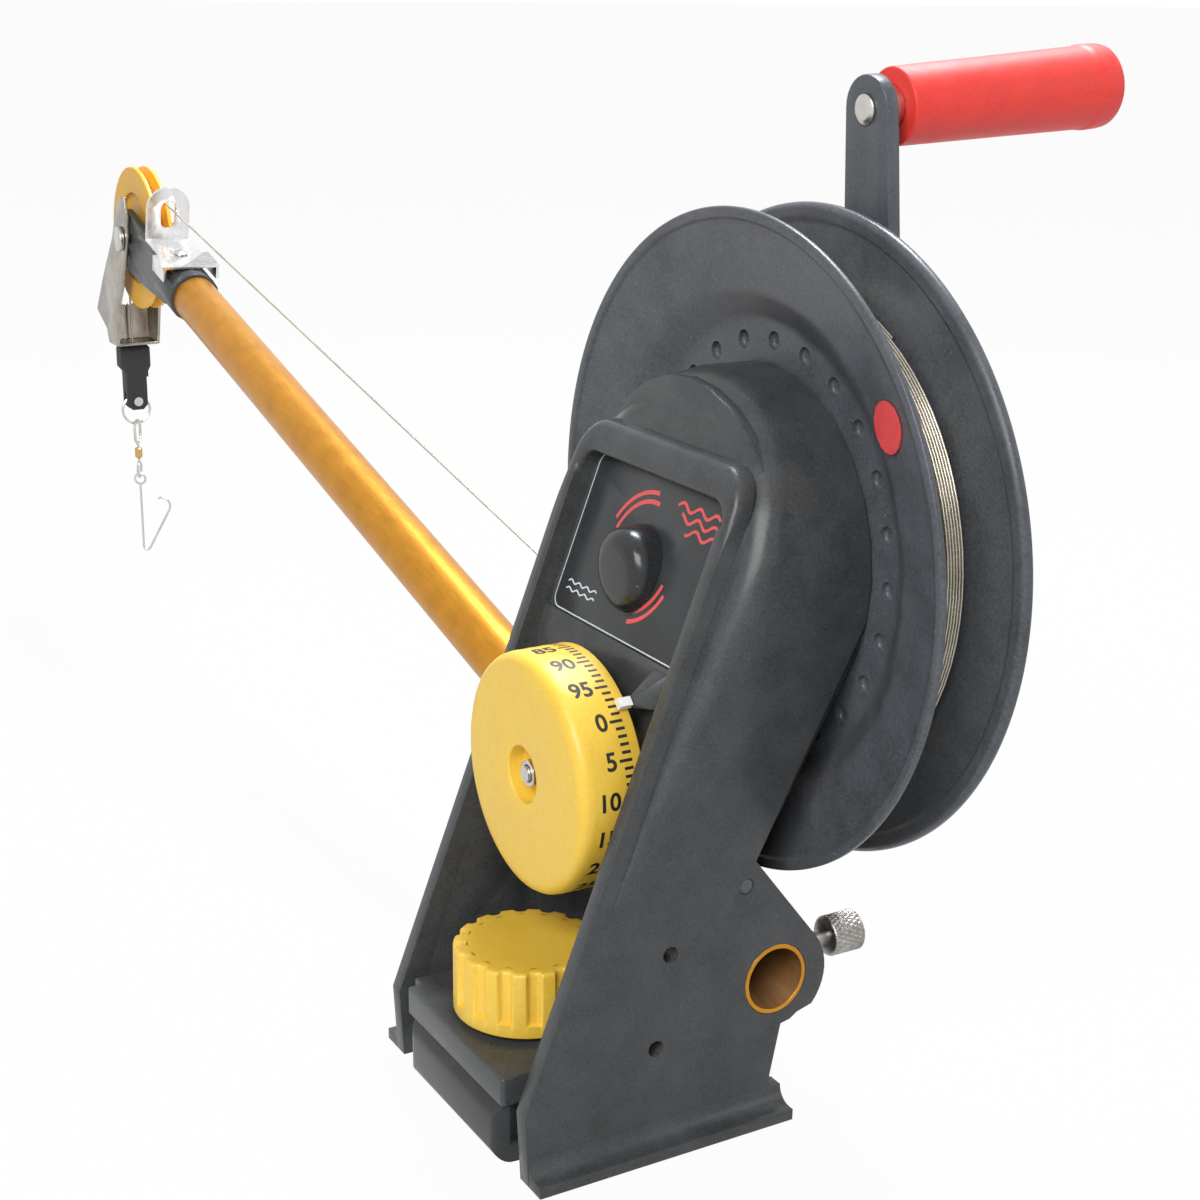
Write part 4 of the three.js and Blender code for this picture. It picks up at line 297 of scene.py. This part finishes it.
def rounded(profile, closed=True, steps=4):
    """A profile of (along, radius, corner) with each corner rounded by that much."""
    result = []
    count = len(profile)
    for i, (x, y, corner) in enumerate(profile):
        here = Vector((x, y))
        if corner <= 0 or (not closed and i in (0, count - 1)):
            result.append((x, y))
            continue
        before = Vector(profile[i - 1][:2]) - here
        after = Vector(profile[(i + 1) % count][:2]) - here
        reach = min(corner, before.length * 0.48, after.length * 0.48)
        start = here + before.normalized() * reach
        end = here + after.normalized() * reach
        for k in range(steps + 1):
            t = k / steps
            point = start * (1 - t) ** 2 + here * 2 * t * (1 - t) + end * t ** 2
            result.append((point.x, point.y))
    return result


def turned(profile, steps=96, closed=True, shape=None):
    """Rings of points about X, one for each profile point, joined by faces."""
    points = []
    faces = []
    for along, radius in profile:
        for k in range(steps):
            turn = 2 * math.pi * k / steps
            reach = radius if shape is None else shape(along, turn, radius)
            points.append((along, reach * math.cos(turn), reach * math.sin(turn)))
    rows = len(profile)
    for i in range(rows if closed else rows - 1):
        below = i * steps
        above = ((i + 1) % rows) * steps
        for k in range(steps):
            n = (k + 1) % steps
            faces.append((below + k, below + n, above + n, above + k))
    return points, faces


def turned_piece(name, profile, body, slot, stands_for=(), at=None, steps=96, closed=True,
                 shape=None, smooth=34, finish=None):
    points, faces = turned(rounded(profile, closed), steps, closed, shape)
    return mesh_piece(name, points, faces, body, slot, stands_for, at, smooth, finish)


def tube(route, radius, sides=10, closed=False):
    """A round tube along a route of points."""
    route = [Vector(p) for p in route]
    count = len(route)
    points = []
    faces = []
    first = (route[1] - route[0]).normalized()
    normal = Vector((1, 0, 0)) if abs(first.x) < 0.9 else Vector((0, 0, 1))
    for i, here in enumerate(route):
        before = route[i - 1] if (i or closed) else route[0]
        after = route[(i + 1) % count] if (closed or i < count - 1) else route[-1]
        along = (after - before).normalized()
        normal = (normal - along * normal.dot(along)).normalized()
        other = along.cross(normal)
        for k in range(sides):
            turn = 2 * math.pi * k / sides
            points.append(here + (normal * math.cos(turn) + other * math.sin(turn)) * radius)
    for i in range(count if closed else count - 1):
        below = i * sides
        above = ((i + 1) % count) * sides
        for k in range(sides):
            n = (k + 1) % sides
            faces.append((below + k, below + n, above + n, above + k))
    if not closed:
        faces.append(tuple(range(sides)))
        faces.append(tuple((count - 1) * sides + k for k in range(sides)))
    return points, faces


def refined(node, slot, width=0.4, segments=2, corner=28, smooth=40, finish=None, bead=0, on_front=None):
    """The node's own shape with its corners eased by a small round, and its front edges by a wider one."""
    source = frame["nodes"][node]
    build = bmesh.new()
    build.from_mesh(source.data)
    bmesh.ops.remove_doubles(build, verts=build.verts, dist=2e-6)
    bmesh.ops.dissolve_limit(
        build, angle_limit=math.radians(0.6), verts=build.verts, edges=build.edges,
    )
    if bead:
        front = [
            e for e in build.edges
            if len(e.link_faces) == 2 and abs(e.calc_face_angle(0)) > math.radians(corner)
            and all(on_front(v.co / MM) for v in e.verts)
        ]
        bmesh.ops.bevel(
            build, geom=front, offset=bead * MM, offset_type="OFFSET", segments=5,
            profile=0.5, affect="EDGES", clamp_overlap=False,
        )
    if width:
        sharp = [
            e for e in build.edges
            if len(e.link_faces) == 2 and abs(e.calc_face_angle(0)) > math.radians(corner)
        ]
        bmesh.ops.bevel(
            build, geom=sharp, offset=width * MM, offset_type="OFFSET", segments=segments,
            profile=0.5, affect="EDGES", clamp_overlap=True,
        )
    mesh = bpy.data.meshes.new(node + "_fine")
    build.to_mesh(mesh)
    build.free()
    return finish_mesh(mesh, node + "_fine", source["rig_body"], slot, (node,), smooth, finish)


# The cable from the spool up to the pulley, over it and down to the snubber
CABLE = 0.6
WOUND = 91 + 0.3 + CABLE
WIND_STEPS = 24
WIND_RADIUS = WOUND / math.cos(math.pi / WIND_STEPS)
OVER_PULLEY = 34.3
SNUBBER_TOP = -70.1
to_pulley = Vector((PULLEY_Y, PULLEY_Z - AXLE_Z))
bearing = math.atan2(to_pulley.y, to_pulley.x)
LEAVE = bearing + math.asin((WIND_RADIUS + OVER_PULLEY) / to_pulley.length) - math.pi / 2


def cable_points():
    """Straight from the last turn to the pulley, round it in even steps, then down."""
    last, before = [
        Vector((x, WIND_RADIUS * math.cos(turn), AXLE_Z + WIND_RADIUS * math.sin(turn)))
        for x, turn in ((81.5, LEAVE), (81.5 - 1.68 / WIND_STEPS, LEAVE - 2 * math.pi / WIND_STEPS))
    ]
    start = last + (last - before).normalized() * (2 * CABLE + 0.3)
    back = math.atan2(start.z - PULLEY_Z, start.y - PULLEY_Y) + 2 * math.pi
    apart = math.hypot(PULLEY_Y - start.y, PULLEY_Z - start.z)
    touch = back - math.acos(OVER_PULLEY / apart)

    def over(turn):
        return Vector((
            BOOM_X, PULLEY_Y + OVER_PULLEY * math.cos(turn), PULLEY_Z + OVER_PULLEY * math.sin(turn),
        ))

    straight = [start.lerp(over(touch), i / 6) for i in range(6)]
    wrap = [over(touch * (1 - i / 12)) for i in range(13)]
    return straight + wrap + [Vector((BOOM_X, PULLEY_Y + OVER_PULLEY, PULLEY_Z + SNUBBER_TOP + 0.3))]


cable_route = cable_points()
points, faces = tube(cable_route, CABLE, 12)
cable = mesh_piece("cable", points, faces, "frame_body", "cable_steel", ("cable_line",), smooth=60)


# Floor, world and lamps
def backdrop(name, share):
    """A pale floor that the camera and mirrors see nearly white, with the shadows on it."""
    material = bpy.data.materials.new(name)
    material.use_nodes = True
    tree = material.node_tree
    tree.nodes.clear()
    output = tree.nodes.new("ShaderNodeOutputMaterial")
    pale = tree.nodes.new("ShaderNodeBsdfDiffuse")
    pale.inputs["Color"].default_value = (0.5, 0.5, 0.5, 1)
    glow = tree.nodes.new("ShaderNodeEmission")
    glow.inputs["Color"].default_value = (1, 1, 1, 1)
    glow.inputs["Strength"].default_value = 1
    path = tree.nodes.new("ShaderNodeLightPath")
    seen = tree.nodes.new("ShaderNodeMath")
    seen.operation = "ADD"
    tree.links.new(path.outputs["Is Camera Ray"], seen.inputs[0])
    tree.links.new(path.outputs["Is Glossy Ray"], seen.inputs[1])
    both = tree.nodes.new("ShaderNodeMath")
    both.operation = "ADD"
    both.use_clamp = True
    tree.links.new(seen.outputs[0], both.inputs[0])
    tree.links.new(path.outputs["Is Transmission Ray"], both.inputs[1])
    part = tree.nodes.new("ShaderNodeMath")
    part.operation = "MULTIPLY"
    part.inputs[1].default_value = share
    tree.links.new(both.outputs[0], part.inputs[0])
    mix = tree.nodes.new("ShaderNodeMixShader")
    tree.links.new(part.outputs[0], mix.inputs[0])
    tree.links.new(pale.outputs[0], mix.inputs[1])
    tree.links.new(glow.outputs[0], mix.inputs[2])
    tree.links.new(mix.outputs[0], output.inputs["Surface"])
    return material


floor_mesh = bpy.data.meshes.new("floor")
reach = 30
floor_mesh.from_pydata(
    [(-reach, -reach, 0), (reach, -reach, 0), (reach, reach, 0), (-reach, reach, 0)], [], [(0, 1, 2, 3)],
)
floor_mesh.materials.append(backdrop("floor_white", 0.96))
floor = bpy.data.objects.new("floor", floor_mesh)
floor.location.z = -0.0004
scene.collection.objects.link(floor)

world = bpy.data.worlds.new("studio")
world.use_nodes = True
tree = world.node_tree
tree.nodes.clear()
sky_out = tree.nodes.new("ShaderNodeOutputWorld")
soft = tree.nodes.new("ShaderNodeBackground")
soft.inputs["Color"].default_value = (0.93, 0.96, 1, 1)
soft.inputs["Strength"].default_value = 0.17
white = tree.nodes.new("ShaderNodeBackground")
white.inputs["Color"].default_value = (1, 1, 1, 1)
white.inputs["Strength"].default_value = 1
path = tree.nodes.new("ShaderNodeLightPath")
seen = tree.nodes.new("ShaderNodeMath")
seen.operation = "ADD"
tree.links.new(path.outputs["Is Camera Ray"], seen.inputs[0])
tree.links.new(path.outputs["Is Transmission Ray"], seen.inputs[1])
mirrored = tree.nodes.new("ShaderNodeMath")
mirrored.operation = "ADD"
mirrored.use_clamp = True
tree.links.new(seen.outputs[0], mirrored.inputs[0])
tree.links.new(path.outputs["Is Glossy Ray"], mirrored.inputs[1])
mix = tree.nodes.new("ShaderNodeMixShader")
tree.links.new(mirrored.outputs[0], mix.inputs[0])
tree.links.new(soft.outputs[0], mix.inputs[1])
tree.links.new(white.outputs[0], mix.inputs[2])
tree.links.new(mix.outputs[0], sky_out.inputs["Surface"])
scene.world = world
scene.view_settings.view_transform = "Standard"


def lamp(name, place, target, size, power, colour=(1, 1, 1)):
    light = bpy.data.lights.new(name, "AREA")
    light.shape = "RECTANGLE"
    light.size = size[0]
    light.size_y = size[1]
    light.energy = power
    light.color = colour
    piece = bpy.data.objects.new(name, light)
    piece.location = place
    aim = Vector(target) - Vector(place)
    piece.rotation_euler = aim.to_track_quat("-Z", "Y").to_euler()
    scene.collection.objects.link(piece)


lamp("key", (-1.2, -1.05, 1.35), (0.0, 0.05, 0.2), (1.2, 1.0), 38)
lamp("top", (0.65, 0.65, 1.75), (0.0, 0.05, 0.25), (0.7, 0.45), 54, (0.88, 0.94, 1))
lamp("side", (1.5, -1.0, 0.9), (0.05, 0.1, 0.18), (0.8, 1.0), 4, (0.95, 0.97, 1))


# Spool: two flanges, a drum and the wound cable
FLANGE_DISH = 16
DIMPLES = 24
DIMPLE_RING = 72.5
def carve(piece, points, faces):
    """Cuts a closed shape out of a piece."""
    mesh = bpy.data.meshes.new("cutter")
    mesh.from_pydata([Vector(p) * MM for p in points], [], faces)
    build = bmesh.new()
    build.from_mesh(mesh)
    bmesh.ops.remove_doubles(build, verts=build.verts, dist=1e-6)
    bmesh.ops.recalc_face_normals(build, faces=build.faces)
    build.to_mesh(mesh)
    build.free()
    tool = bpy.data.objects.new("cutter", mesh)
    scene.collection.objects.link(tool)
    change = piece.modifiers.new("cut", "BOOLEAN")
    change.operation = "DIFFERENCE"
    change.solver = "EXACT"
    change.object = tool
    graph = bpy.context.evaluated_depsgraph_get()
    result = bpy.data.meshes.new_from_object(piece.evaluated_get(graph))
    piece.modifiers.clear()
    old = piece.data
    piece.data = result
    bpy.data.meshes.remove(old)
    bpy.data.objects.remove(tool)
    bpy.data.meshes.remove(mesh)


flange = turned_piece(
    "spool_front",
    [
        (FLANGE_DISH, 22.3, 0), (FLANGE_DISH, 79, 3), (7.2, 90.5, 3), (2.2, 113, 1.2), (1.5, 114.9, 0.5),
        (0, 115.9, 1.0), (0, 119.5, 1.3), (2.4, 119.5, 0.8),
        (2.4, 117.5, 0.4), (6.2, 113, 1), (11.2, 90.5, 3), (20, 79, 2), (20, 22.3, 0),
    ],
    "spool_body", "black_housing", ("spool_front_flange",), on_spool, steps=192, smooth=50,
    finish="black_spool",
)
dimple_points = []
dimple_faces = []
ball = rounded([(-3.4, 0, 0), (-3.4, 3.4, 3.3), (3.4, 3.4, 3.3), (3.4, 0, 0)], closed=False, steps=6)
for i in range(DIMPLES):
    turn = math.radians(0.75 + 15 * i)
    spot, around = turned(ball, 16, closed=False)
    start = len(dimple_points)
    middle = (FLANGE_DISH - 1.0, DIMPLE_RING * math.cos(turn), DIMPLE_RING * math.sin(turn))
    dimple_points += [tuple(on_spool @ Vector([a + b for a, b in zip(p, middle)])) for p in spot]
    dimple_faces += [tuple(start + k for k in face) for face in around]
carve(flange, dimple_points, dimple_faces)

turned_piece(
    "spool_rear",
    [
        (33.4, 22.3, 0), (33.4, 79, 1), (35.0, 112.5, 0.8), (33.6, 114.1, 0.8), (33.6, 117.9, 0.8),
        (35.0, 119.5, 1.2), (37.7, 119.5, 1.2), (37.7, 22.3, 0),
    ],
    "spool_body", "black_housing", ("spool_rear_flange",), on_spool, steps=192, smooth=50,
    finish="black_spool",
)
refined("spool_drum", "black_housing", 0.3)
refined("red_marker", "red_mark", 0)


def helix(start, end, radius, pitch, last_turn, steps=72):
    """A winding that ends at the angle last_turn, from start to end along X."""
    turns = (end - start) / pitch
    count = int(turns * steps)
    route = []
    for i in range(count + 1):
        back = (count - i) / steps
        turn = last_turn - 2 * math.pi * back
        route.append((end - pitch * back, radius * math.cos(turn), radius * math.sin(turn)))
    return route


# The upper layer lies low enough to clear the free cable as the spool turns
LOWER_LAYER = 90.3
UPPER_LAYER = 91.42
LAY_PITCH = 1.24
wound_points = []
wound_faces = []
layers = [
    helix(12.6, 32.9, LOWER_LAYER, LAY_PITCH, 0.4),
    helix(12.4, 24.0, UPPER_LAYER, LAY_PITCH, LEAVE),
    helix(25.3, 32.9, UPPER_LAYER, LAY_PITCH, 2.1),
]
for route in layers:
    spot, around = tube(route, CABLE, 8)
    start = len(wound_points)
    wound_points += [tuple(p) for p in spot]
    wound_faces += [tuple(start + k for k in face) for face in around]
mesh_piece(
    "cable_turns", wound_points, wound_faces, "spool_body", "cable_steel",
    ("cable_core", "cable_winding"), on_spool, smooth=60,
)
turned_piece(
    "cable_bed", [(20.8, 79.3, 0), (12.6, 89.9, 0), (33.4, 89.9, 0), (33.0, 79.3, 0)],
    "spool_body", "cable_steel", (), on_spool, steps=128,
)

# Depth dial with its scale
DIAL_FRONT = -26.5
DIAL_BACK = -2.0
turned_piece(
    "dial",
    [
        (-20.5, 3.3, 0), (-20.5, 10.3, 0.5), (DIAL_FRONT, 10.3, 0.9), (DIAL_FRONT, DIAL_RADIUS, 5.2),
        (DIAL_BACK, DIAL_RADIUS, 0.7), (DIAL_BACK, 40, 0), (-23, 40, 0), (-23, 13.8, 0), (-17, 13.8, 0),
        (-17, 9, 0), (2.9, 9, 0), (2.9, 3.3, 0),
    ],
    "dial_body", "yellow_plastic", ("depth_dial",), on_dial, steps=160, smooth=40,
)
READING = 98.2
POINTER_TURN = math.radians(133.6)


def on_rim(along, across, lift, number):
    """A point of the scale: along X, across it round the rim, lifted off the rim, at a number."""
    turn = POINTER_TURN + math.radians(3.6) * (number - READING) - across / DIAL_RADIUS
    reach = DIAL_RADIUS + lift
    return (along, reach * math.cos(turn), reach * math.sin(turn))


scale_points = []
scale_faces = []
for number in range(100):
    front = -10.7 if number % 5 == 0 else -9.2
    half = 0.52
    start = len(scale_points)
    rows = 4
    for k in range(rows):
        across = -half + 2 * half * k / (rows - 1)
        for along, lift in ((front, -0.1), (front, 0.06), (-5.8, 0.06), (-5.8, -0.1)):
            scale_points.append(on_rim(along, across, lift, number))
    for k in range(rows - 1):
        for m in range(4):
            n = (m + 1) % 4
            scale_faces.append((
                start + 4 * k + m, start + 4 * k + n, start + 4 * (k + 1) + n, start + 4 * (k + 1) + m,
            ))
    scale_faces.append(tuple(start + m for m in range(4)))
    scale_faces.append(tuple(start + 4 * (rows - 1) + m for m in range(4)))
mesh_piece("dial_ticks", scale_points, scale_faces, "dial_body", None, (), on_dial, finish="print_black")


def digits(text, size, thick):
    """The flat outlines of a number as a thin solid, in millimetres."""
    curve = bpy.data.curves.new("digits", "FONT")
    curve.body = text
    curve.align_x = "RIGHT"
    curve.align_y = "CENTER"
    curve.size = size
    curve.offset = 0.022 * size
    curve.extrude = thick
    curve.resolution_u = 5
    piece = bpy.data.objects.new("digits", curve)
    scene.collection.objects.link(piece)
    graph = bpy.context.evaluated_depsgraph_get()
    mesh = bpy.data.meshes.new_from_object(piece.evaluated_get(graph))
    build = bmesh.new()
    build.from_mesh(mesh)
    for k in range(-6, 7):
        bmesh.ops.bisect_plane(
            build, geom=build.verts[:] + build.edges[:] + build.faces[:],
            plane_co=(0, k * 0.5, 0), plane_no=(0, 1, 0),
        )
    build.verts.ensure_lookup_table()
    spots = [tuple(v.co) for v in build.verts]
    around = [tuple(v.index for v in f.verts) for f in build.faces]
    build.free()
    bpy.data.objects.remove(piece)
    bpy.data.curves.remove(curve)
    bpy.data.meshes.remove(mesh)
    return spots, around


number_points = []
number_faces = []
for number in range(0, 100, 5):
    spots, around = digits(str(number), 8.8, 0.08)
    start = len(number_points)
    for x, y, z in spots:
        number_points.append(on_rim(-11.6 + x, y, 0.0 + z, number))
    number_faces += [tuple(start + k for k in face) for face in around]
mesh_piece("dial_numbers", number_points, number_faces, "dial_body", None, (), on_dial, finish="print_black")


# Plate with a ripple design round the cap
def face_x(z):
    return 12.6 + FACE_LEAN * (z - AXLE_Z) + 7.3


STRIP_LIFT = 0.07


def strip(route, width):
    """A thin flat strip on the plate along a route of (y, z)."""
    points = []
    faces = []
    count = len(route)
    for i, (y, z) in enumerate(route):
        ahead = route[min(i + 1, count - 1)]
        behind = route[max(i - 1, 0)]
        along = Vector((ahead[0] - behind[0], ahead[1] - behind[1])).normalized()
        side = Vector((-along.y, along.x)) * width / 2
        for sign, height in ((-1, -0.05), (-1, STRIP_LIFT), (1, STRIP_LIFT), (1, -0.05)):
            py = y + side.x * sign
            pz = z + side.y * sign
            points.append((face_x(pz) - height, py, pz))
    for i in range(count - 1):
        for m in range(4):
            n = (m + 1) % 4
            faces.append((4 * i + m, 4 * i + n, 4 * i + 4 + n, 4 * i + 4 + m))
    faces.append((0, 1, 2, 3))
    faces.append(tuple(4 * (count - 1) + m for m in range(4)))
    return points, faces


def strips(name, routes, width, slot):
    points = []
    faces = []
    for route in routes:
        spots, around = strip(route, width)
        start = len(points)
        points += spots
        faces += [tuple(start + k for k in face) for face in around]
    mesh_piece(name, points, faces, "frame_body", "plate_black", (), finish=slot)


def arc(radius, start, end, count=28):
    result = []
    for i in range(count + 1):
        turn = math.radians(start + (end - start) * i / count)
        result.append((radius * math.cos(turn), AXLE_Z + radius * math.sin(turn) * 0.93))
    return result


strips(
    "plate_ripples",
    [arc(20, 18, 96), arc(23.4, 24, 90), arc(20, 196, 262), arc(23.4, 202, 256)], 1.5, "print_red",
)
waves = [
    [(-39 + 0.9 * i, z + 1.2 * math.sin(0.55 * i + lead)) for i in range(count)]
    for z, lead, count in ((222, 0, 30), (218.4, 0.5, 26), (214.8, 1.0, 20))
]
strips("plate_waves", waves, 1.1, "print_red")
strips(
    "plate_lines",
    [[(18 + 0.8 * i, z + 0.55 * math.sin(0.9 * i)) for i in range(26)] for z in (183.5, 180.8)],
    0.55, "pale_print_and_edge_highlight",
)
# A thin pale strip round the plate's edge: a painted highlight where the plate's edge catches the light
EDGE_HIGHLIGHT_CORNER = 4.4
edge_highlight = []
for cy, cz, start in ((39.2, 224.6, 0), (-39.2, 224.6, 90), (-39.2, 177.7, 180), (39.2, 177.7, 270)):
    for k in range(7):
        turn = math.radians(start + 15 * k)
        edge_highlight.append((cy + EDGE_HIGHLIGHT_CORNER * math.cos(turn), cz + (EDGE_HIGHLIGHT_CORNER - 0.1) * math.sin(turn)))
edge_highlight.append(edge_highlight[0])
strips("plate_edge_highlight", [edge_highlight], 0.4, "pale_print_and_edge_highlight")

# Cap over the axle's end, shaped to the sloping plate
CAP_DROP = 4.4
cap_points, cap_faces = turned(
    rounded(
        [(9.5, 0, 0), (9.5, 15.5, 7.4), (30, 15.5, 0), (30, 8.3, 0), (13, 8.3, 0), (13, 0, 0)],
        closed=False, steps=8,
    ),
    72, closed=False,
)
cap_points = [
    (min(x, face_x(z + AXLE_Z - CAP_DROP) - 0.33), y, z + CAP_DROP * (math.hypot(y, z) < 8.4 and x > 12.9))
    for x, y, z in cap_points
]
mesh_piece(
    "cap", cap_points, cap_faces, "frame_body", "black_housing", ("axle_cap",),
    Matrix.Translation((0, 0, AXLE_Z - CAP_DROP)), smooth=50, finish="black_gloss",
)

# Lock knob with flutes over a plain skirt
KNOB_LOW = 37.6


def fluted(along, turn, radius):
    if radius < 22 or along < KNOB_LOW + 5:
        return radius
    wave = min(abs(math.sin(turn * 8)) / 0.72, 1)
    return radius - 1.9 * (1 - wave ** 3.5) ** 0.6


turned_piece(
    "knob",
    [
        (KNOB_LOW, 4.3, 0), (KNOB_LOW, 26.8, 0.6), (KNOB_LOW + 4.8, 26.8, 0), (KNOB_LOW + 5.1, 26.8, 0),
        (KNOB_LOW + 25, 26.8, 2.6), (KNOB_LOW + 25, 23.4, 0), (KNOB_LOW + 25, 21.9, 0),
        (KNOB_LOW + 25, 0, 0), (KNOB_LOW + 18, 0, 0), (KNOB_LOW + 18, 4.3, 0),
    ],
    "knob_body", "yellow_plastic", ("lock_knob",), Matrix.Translation((-24.2, 0, 0)) @ x_to_z,
    steps=384, shape=fluted, smooth=38,
)

# Thumbscrew with a diamond knurl
SCREW_HEAD = 79


def knurled(along, turn, radius):
    if radius < 7.2 or not SCREW_HEAD + 0.8 < along < SCREW_HEAD + 12.7:
        return radius
    pitch_turn = 26
    run = (along - SCREW_HEAD) / 1.9
    one = math.cos(turn * pitch_turn + run * math.pi)
    two = math.cos(turn * pitch_turn - run * math.pi)
    return radius - 0.36 + 0.36 * max(one, two, 0) ** 2


SCREW_Y = BUTT_Y + 14 * math.cos(BOOM_TILT)
SCREW_Z = BUTT_Z + 14 * math.sin(BOOM_TILT)
screw = [(61.3, 0), (61.3, 3), (SCREW_HEAD, 3), (SCREW_HEAD, 6.6), (SCREW_HEAD + 0.6, 7.3)]
screw += [(SCREW_HEAD + 0.9 + 0.3 * i, 7.6) for i in range(41)]
screw += [(SCREW_HEAD + 13.2, 7.3), (SCREW_HEAD + 13.5, 6.7), (SCREW_HEAD + 13.5, 0)]
points, faces = turned(screw, 208, False, knurled)
mesh_piece(
    "clamp_screw", points, faces, "screw_body", "stainless", ("thumbscrew",),
    Matrix.Translation((0, SCREW_Y, SCREW_Z)), smooth=60, finish="knurled_steel",
)

# Crank: arm, grip and the pin's head
refined("crank_arm", "black_crank", 0.7, 3)
turned_piece(
    "grip",
    [
        (11.5, 4.4, 0), (11.5, 13.9, 1.0), (60, 14.6, 8), (96.5, 15.2, 2), (98.6, 15.7, 0.8),
        (104.5, 15.6, 1.2), (108.2, 15.2, 2.8), (108.2, 0, 0), (103.2, 0, 0), (103.2, 4.4, 0),
    ],
    "grip_body", "red_grip", ("crank_grip",), on_crank, steps=96, smooth=50,
)
turned_piece(
    "grip_rivet",
    [
        (-1.9, 0, 0), (-1.9, 3.6, 1.5), (-0.9, 5.4, 0.5), (-0.3, 5.4, 0), (-0.3, 4, 0), (102.9, 4, 0),
        (102.9, 0, 0),
    ],
    "crank_body", "stainless", ("grip_pin",), on_crank, steps=48, closed=False,
)

# Boom: its near end is cut off level with the cheek's face
points, faces = turned(
    rounded([(0, 11.4, 0.25), (0, 13, 0.45), (621, 13, 0.4), (621, 11.4, 0.3), (300, 11.4, 0)]), 128,
)
points = [
    (a + (0.3 + b * math.sin(BOOM_TILT)) / math.cos(BOOM_TILT) if a < 200 else a, b, c)
    for a, b, c in points
]
boom = mesh_piece(
    "boom", points, faces, "frame_body", "gold_anodised", ("boom_tube",), on_boom @ x_to_y,
)
# The tube's inner faces take the darker copy of the gold, as painted shade inside the tube
boom.data.materials.append(finishes["tube_inside_painted_shade"])
for face in boom.data.polygons:
    middle = (on_boom @ x_to_y).inverted() @ (face.center / MM)
    if math.hypot(middle.y, middle.z) < 11.6 and 0.6 < middle.x - middle.y * math.tan(BOOM_TILT) < 620:
        face.material_index = 1
refined("tip_yoke", "black_housing", 0.6, 2)
sheave = [
    (-6, 5.4, 0), (-6, 9, 0.6), (-2.5, 9, 0), (-2.5, 27.4, 1.2), (-5.5, 27.4, 0.6), (-5.5, 43, 1.4),
    (-2.9, 43, 0.6), (-1, 33.4, 0), (-0.4, 33.1, 0), (0.4, 33.1, 0), (1, 33.4, 0), (2.9, 43, 0.6),
    (5.5, 43, 1.4), (5.5, 27.4, 0.6), (2.5, 27.4, 1.2), (2.5, 9, 0), (6, 9, 0.6), (6, 5.4, 0),
]
turned_piece(
    "sheave", sheave, "pulley_body", "yellow_plastic", ("pulley",), on_pulley, steps=128,
    finish="orange_plastic",
)
refined("cable_guard", "stainless", 0.35, finish="bright_strap")
refined("clevis", "stainless", 0.4, finish="dark_steel")
refined("snubber", "black_rubber", 0.8, 3)

# Everything else keeps its own shape, some of it with eased corners
others = {
    "stainless": [
        "lock_stud", "lock_washer", "dial_shaft", "dial_nut", "idler_pin", "drive_sleeve", "axle",
        "click_pin", "click_spring", "axle_nut", "crank_washer",
        "pulley_bolt", "pulley_nut", "guard_rivet", "snubber_rivet", "split_ring", "swivel_upper_eye",
        "swivel_lower_eye", "snap_hook",
    ],
    "black_crank": ["cover_screw_near", "cover_screw_far"],
    "brass": ["dial_bush", "bush_front", "bush_rear", "pulley_bush", "swivel_barrel"],
    "gear_plastic": ["dial_gear", "compound_gear"],
    "black_rubber": ["friction_disc"],
    "white_plastic": ["pointer_tip"],
}
eased = {"cover_screw_near", "cover_screw_far", "dial_nut", "axle_nut", "crank_washer", "pulley_bolt",
         "pulley_nut", "lock_washer"}
for slot, names in others.items():
    for name in names:
        refined(name, slot, 0.3 if name in eased else 0)
refined(
    "frame", "black_housing", 0.5, 2, bead=2.7,
    on_front=lambda p: p.z > 27 and abs(p.x - 12.6 - FACE_LEAN * (p.z - AXLE_Z)) < 0.06,
)
refined("gear_cover", "black_housing", 0.4)
refined("clamp_block", "black_housing", 0.9, 3)
refined("mounting_base", "black_housing", 3, 4, finish="black_gloss")
refined("face_plate", "plate_black", 0.15)
refined("pointer", "black_housing", 0.4)
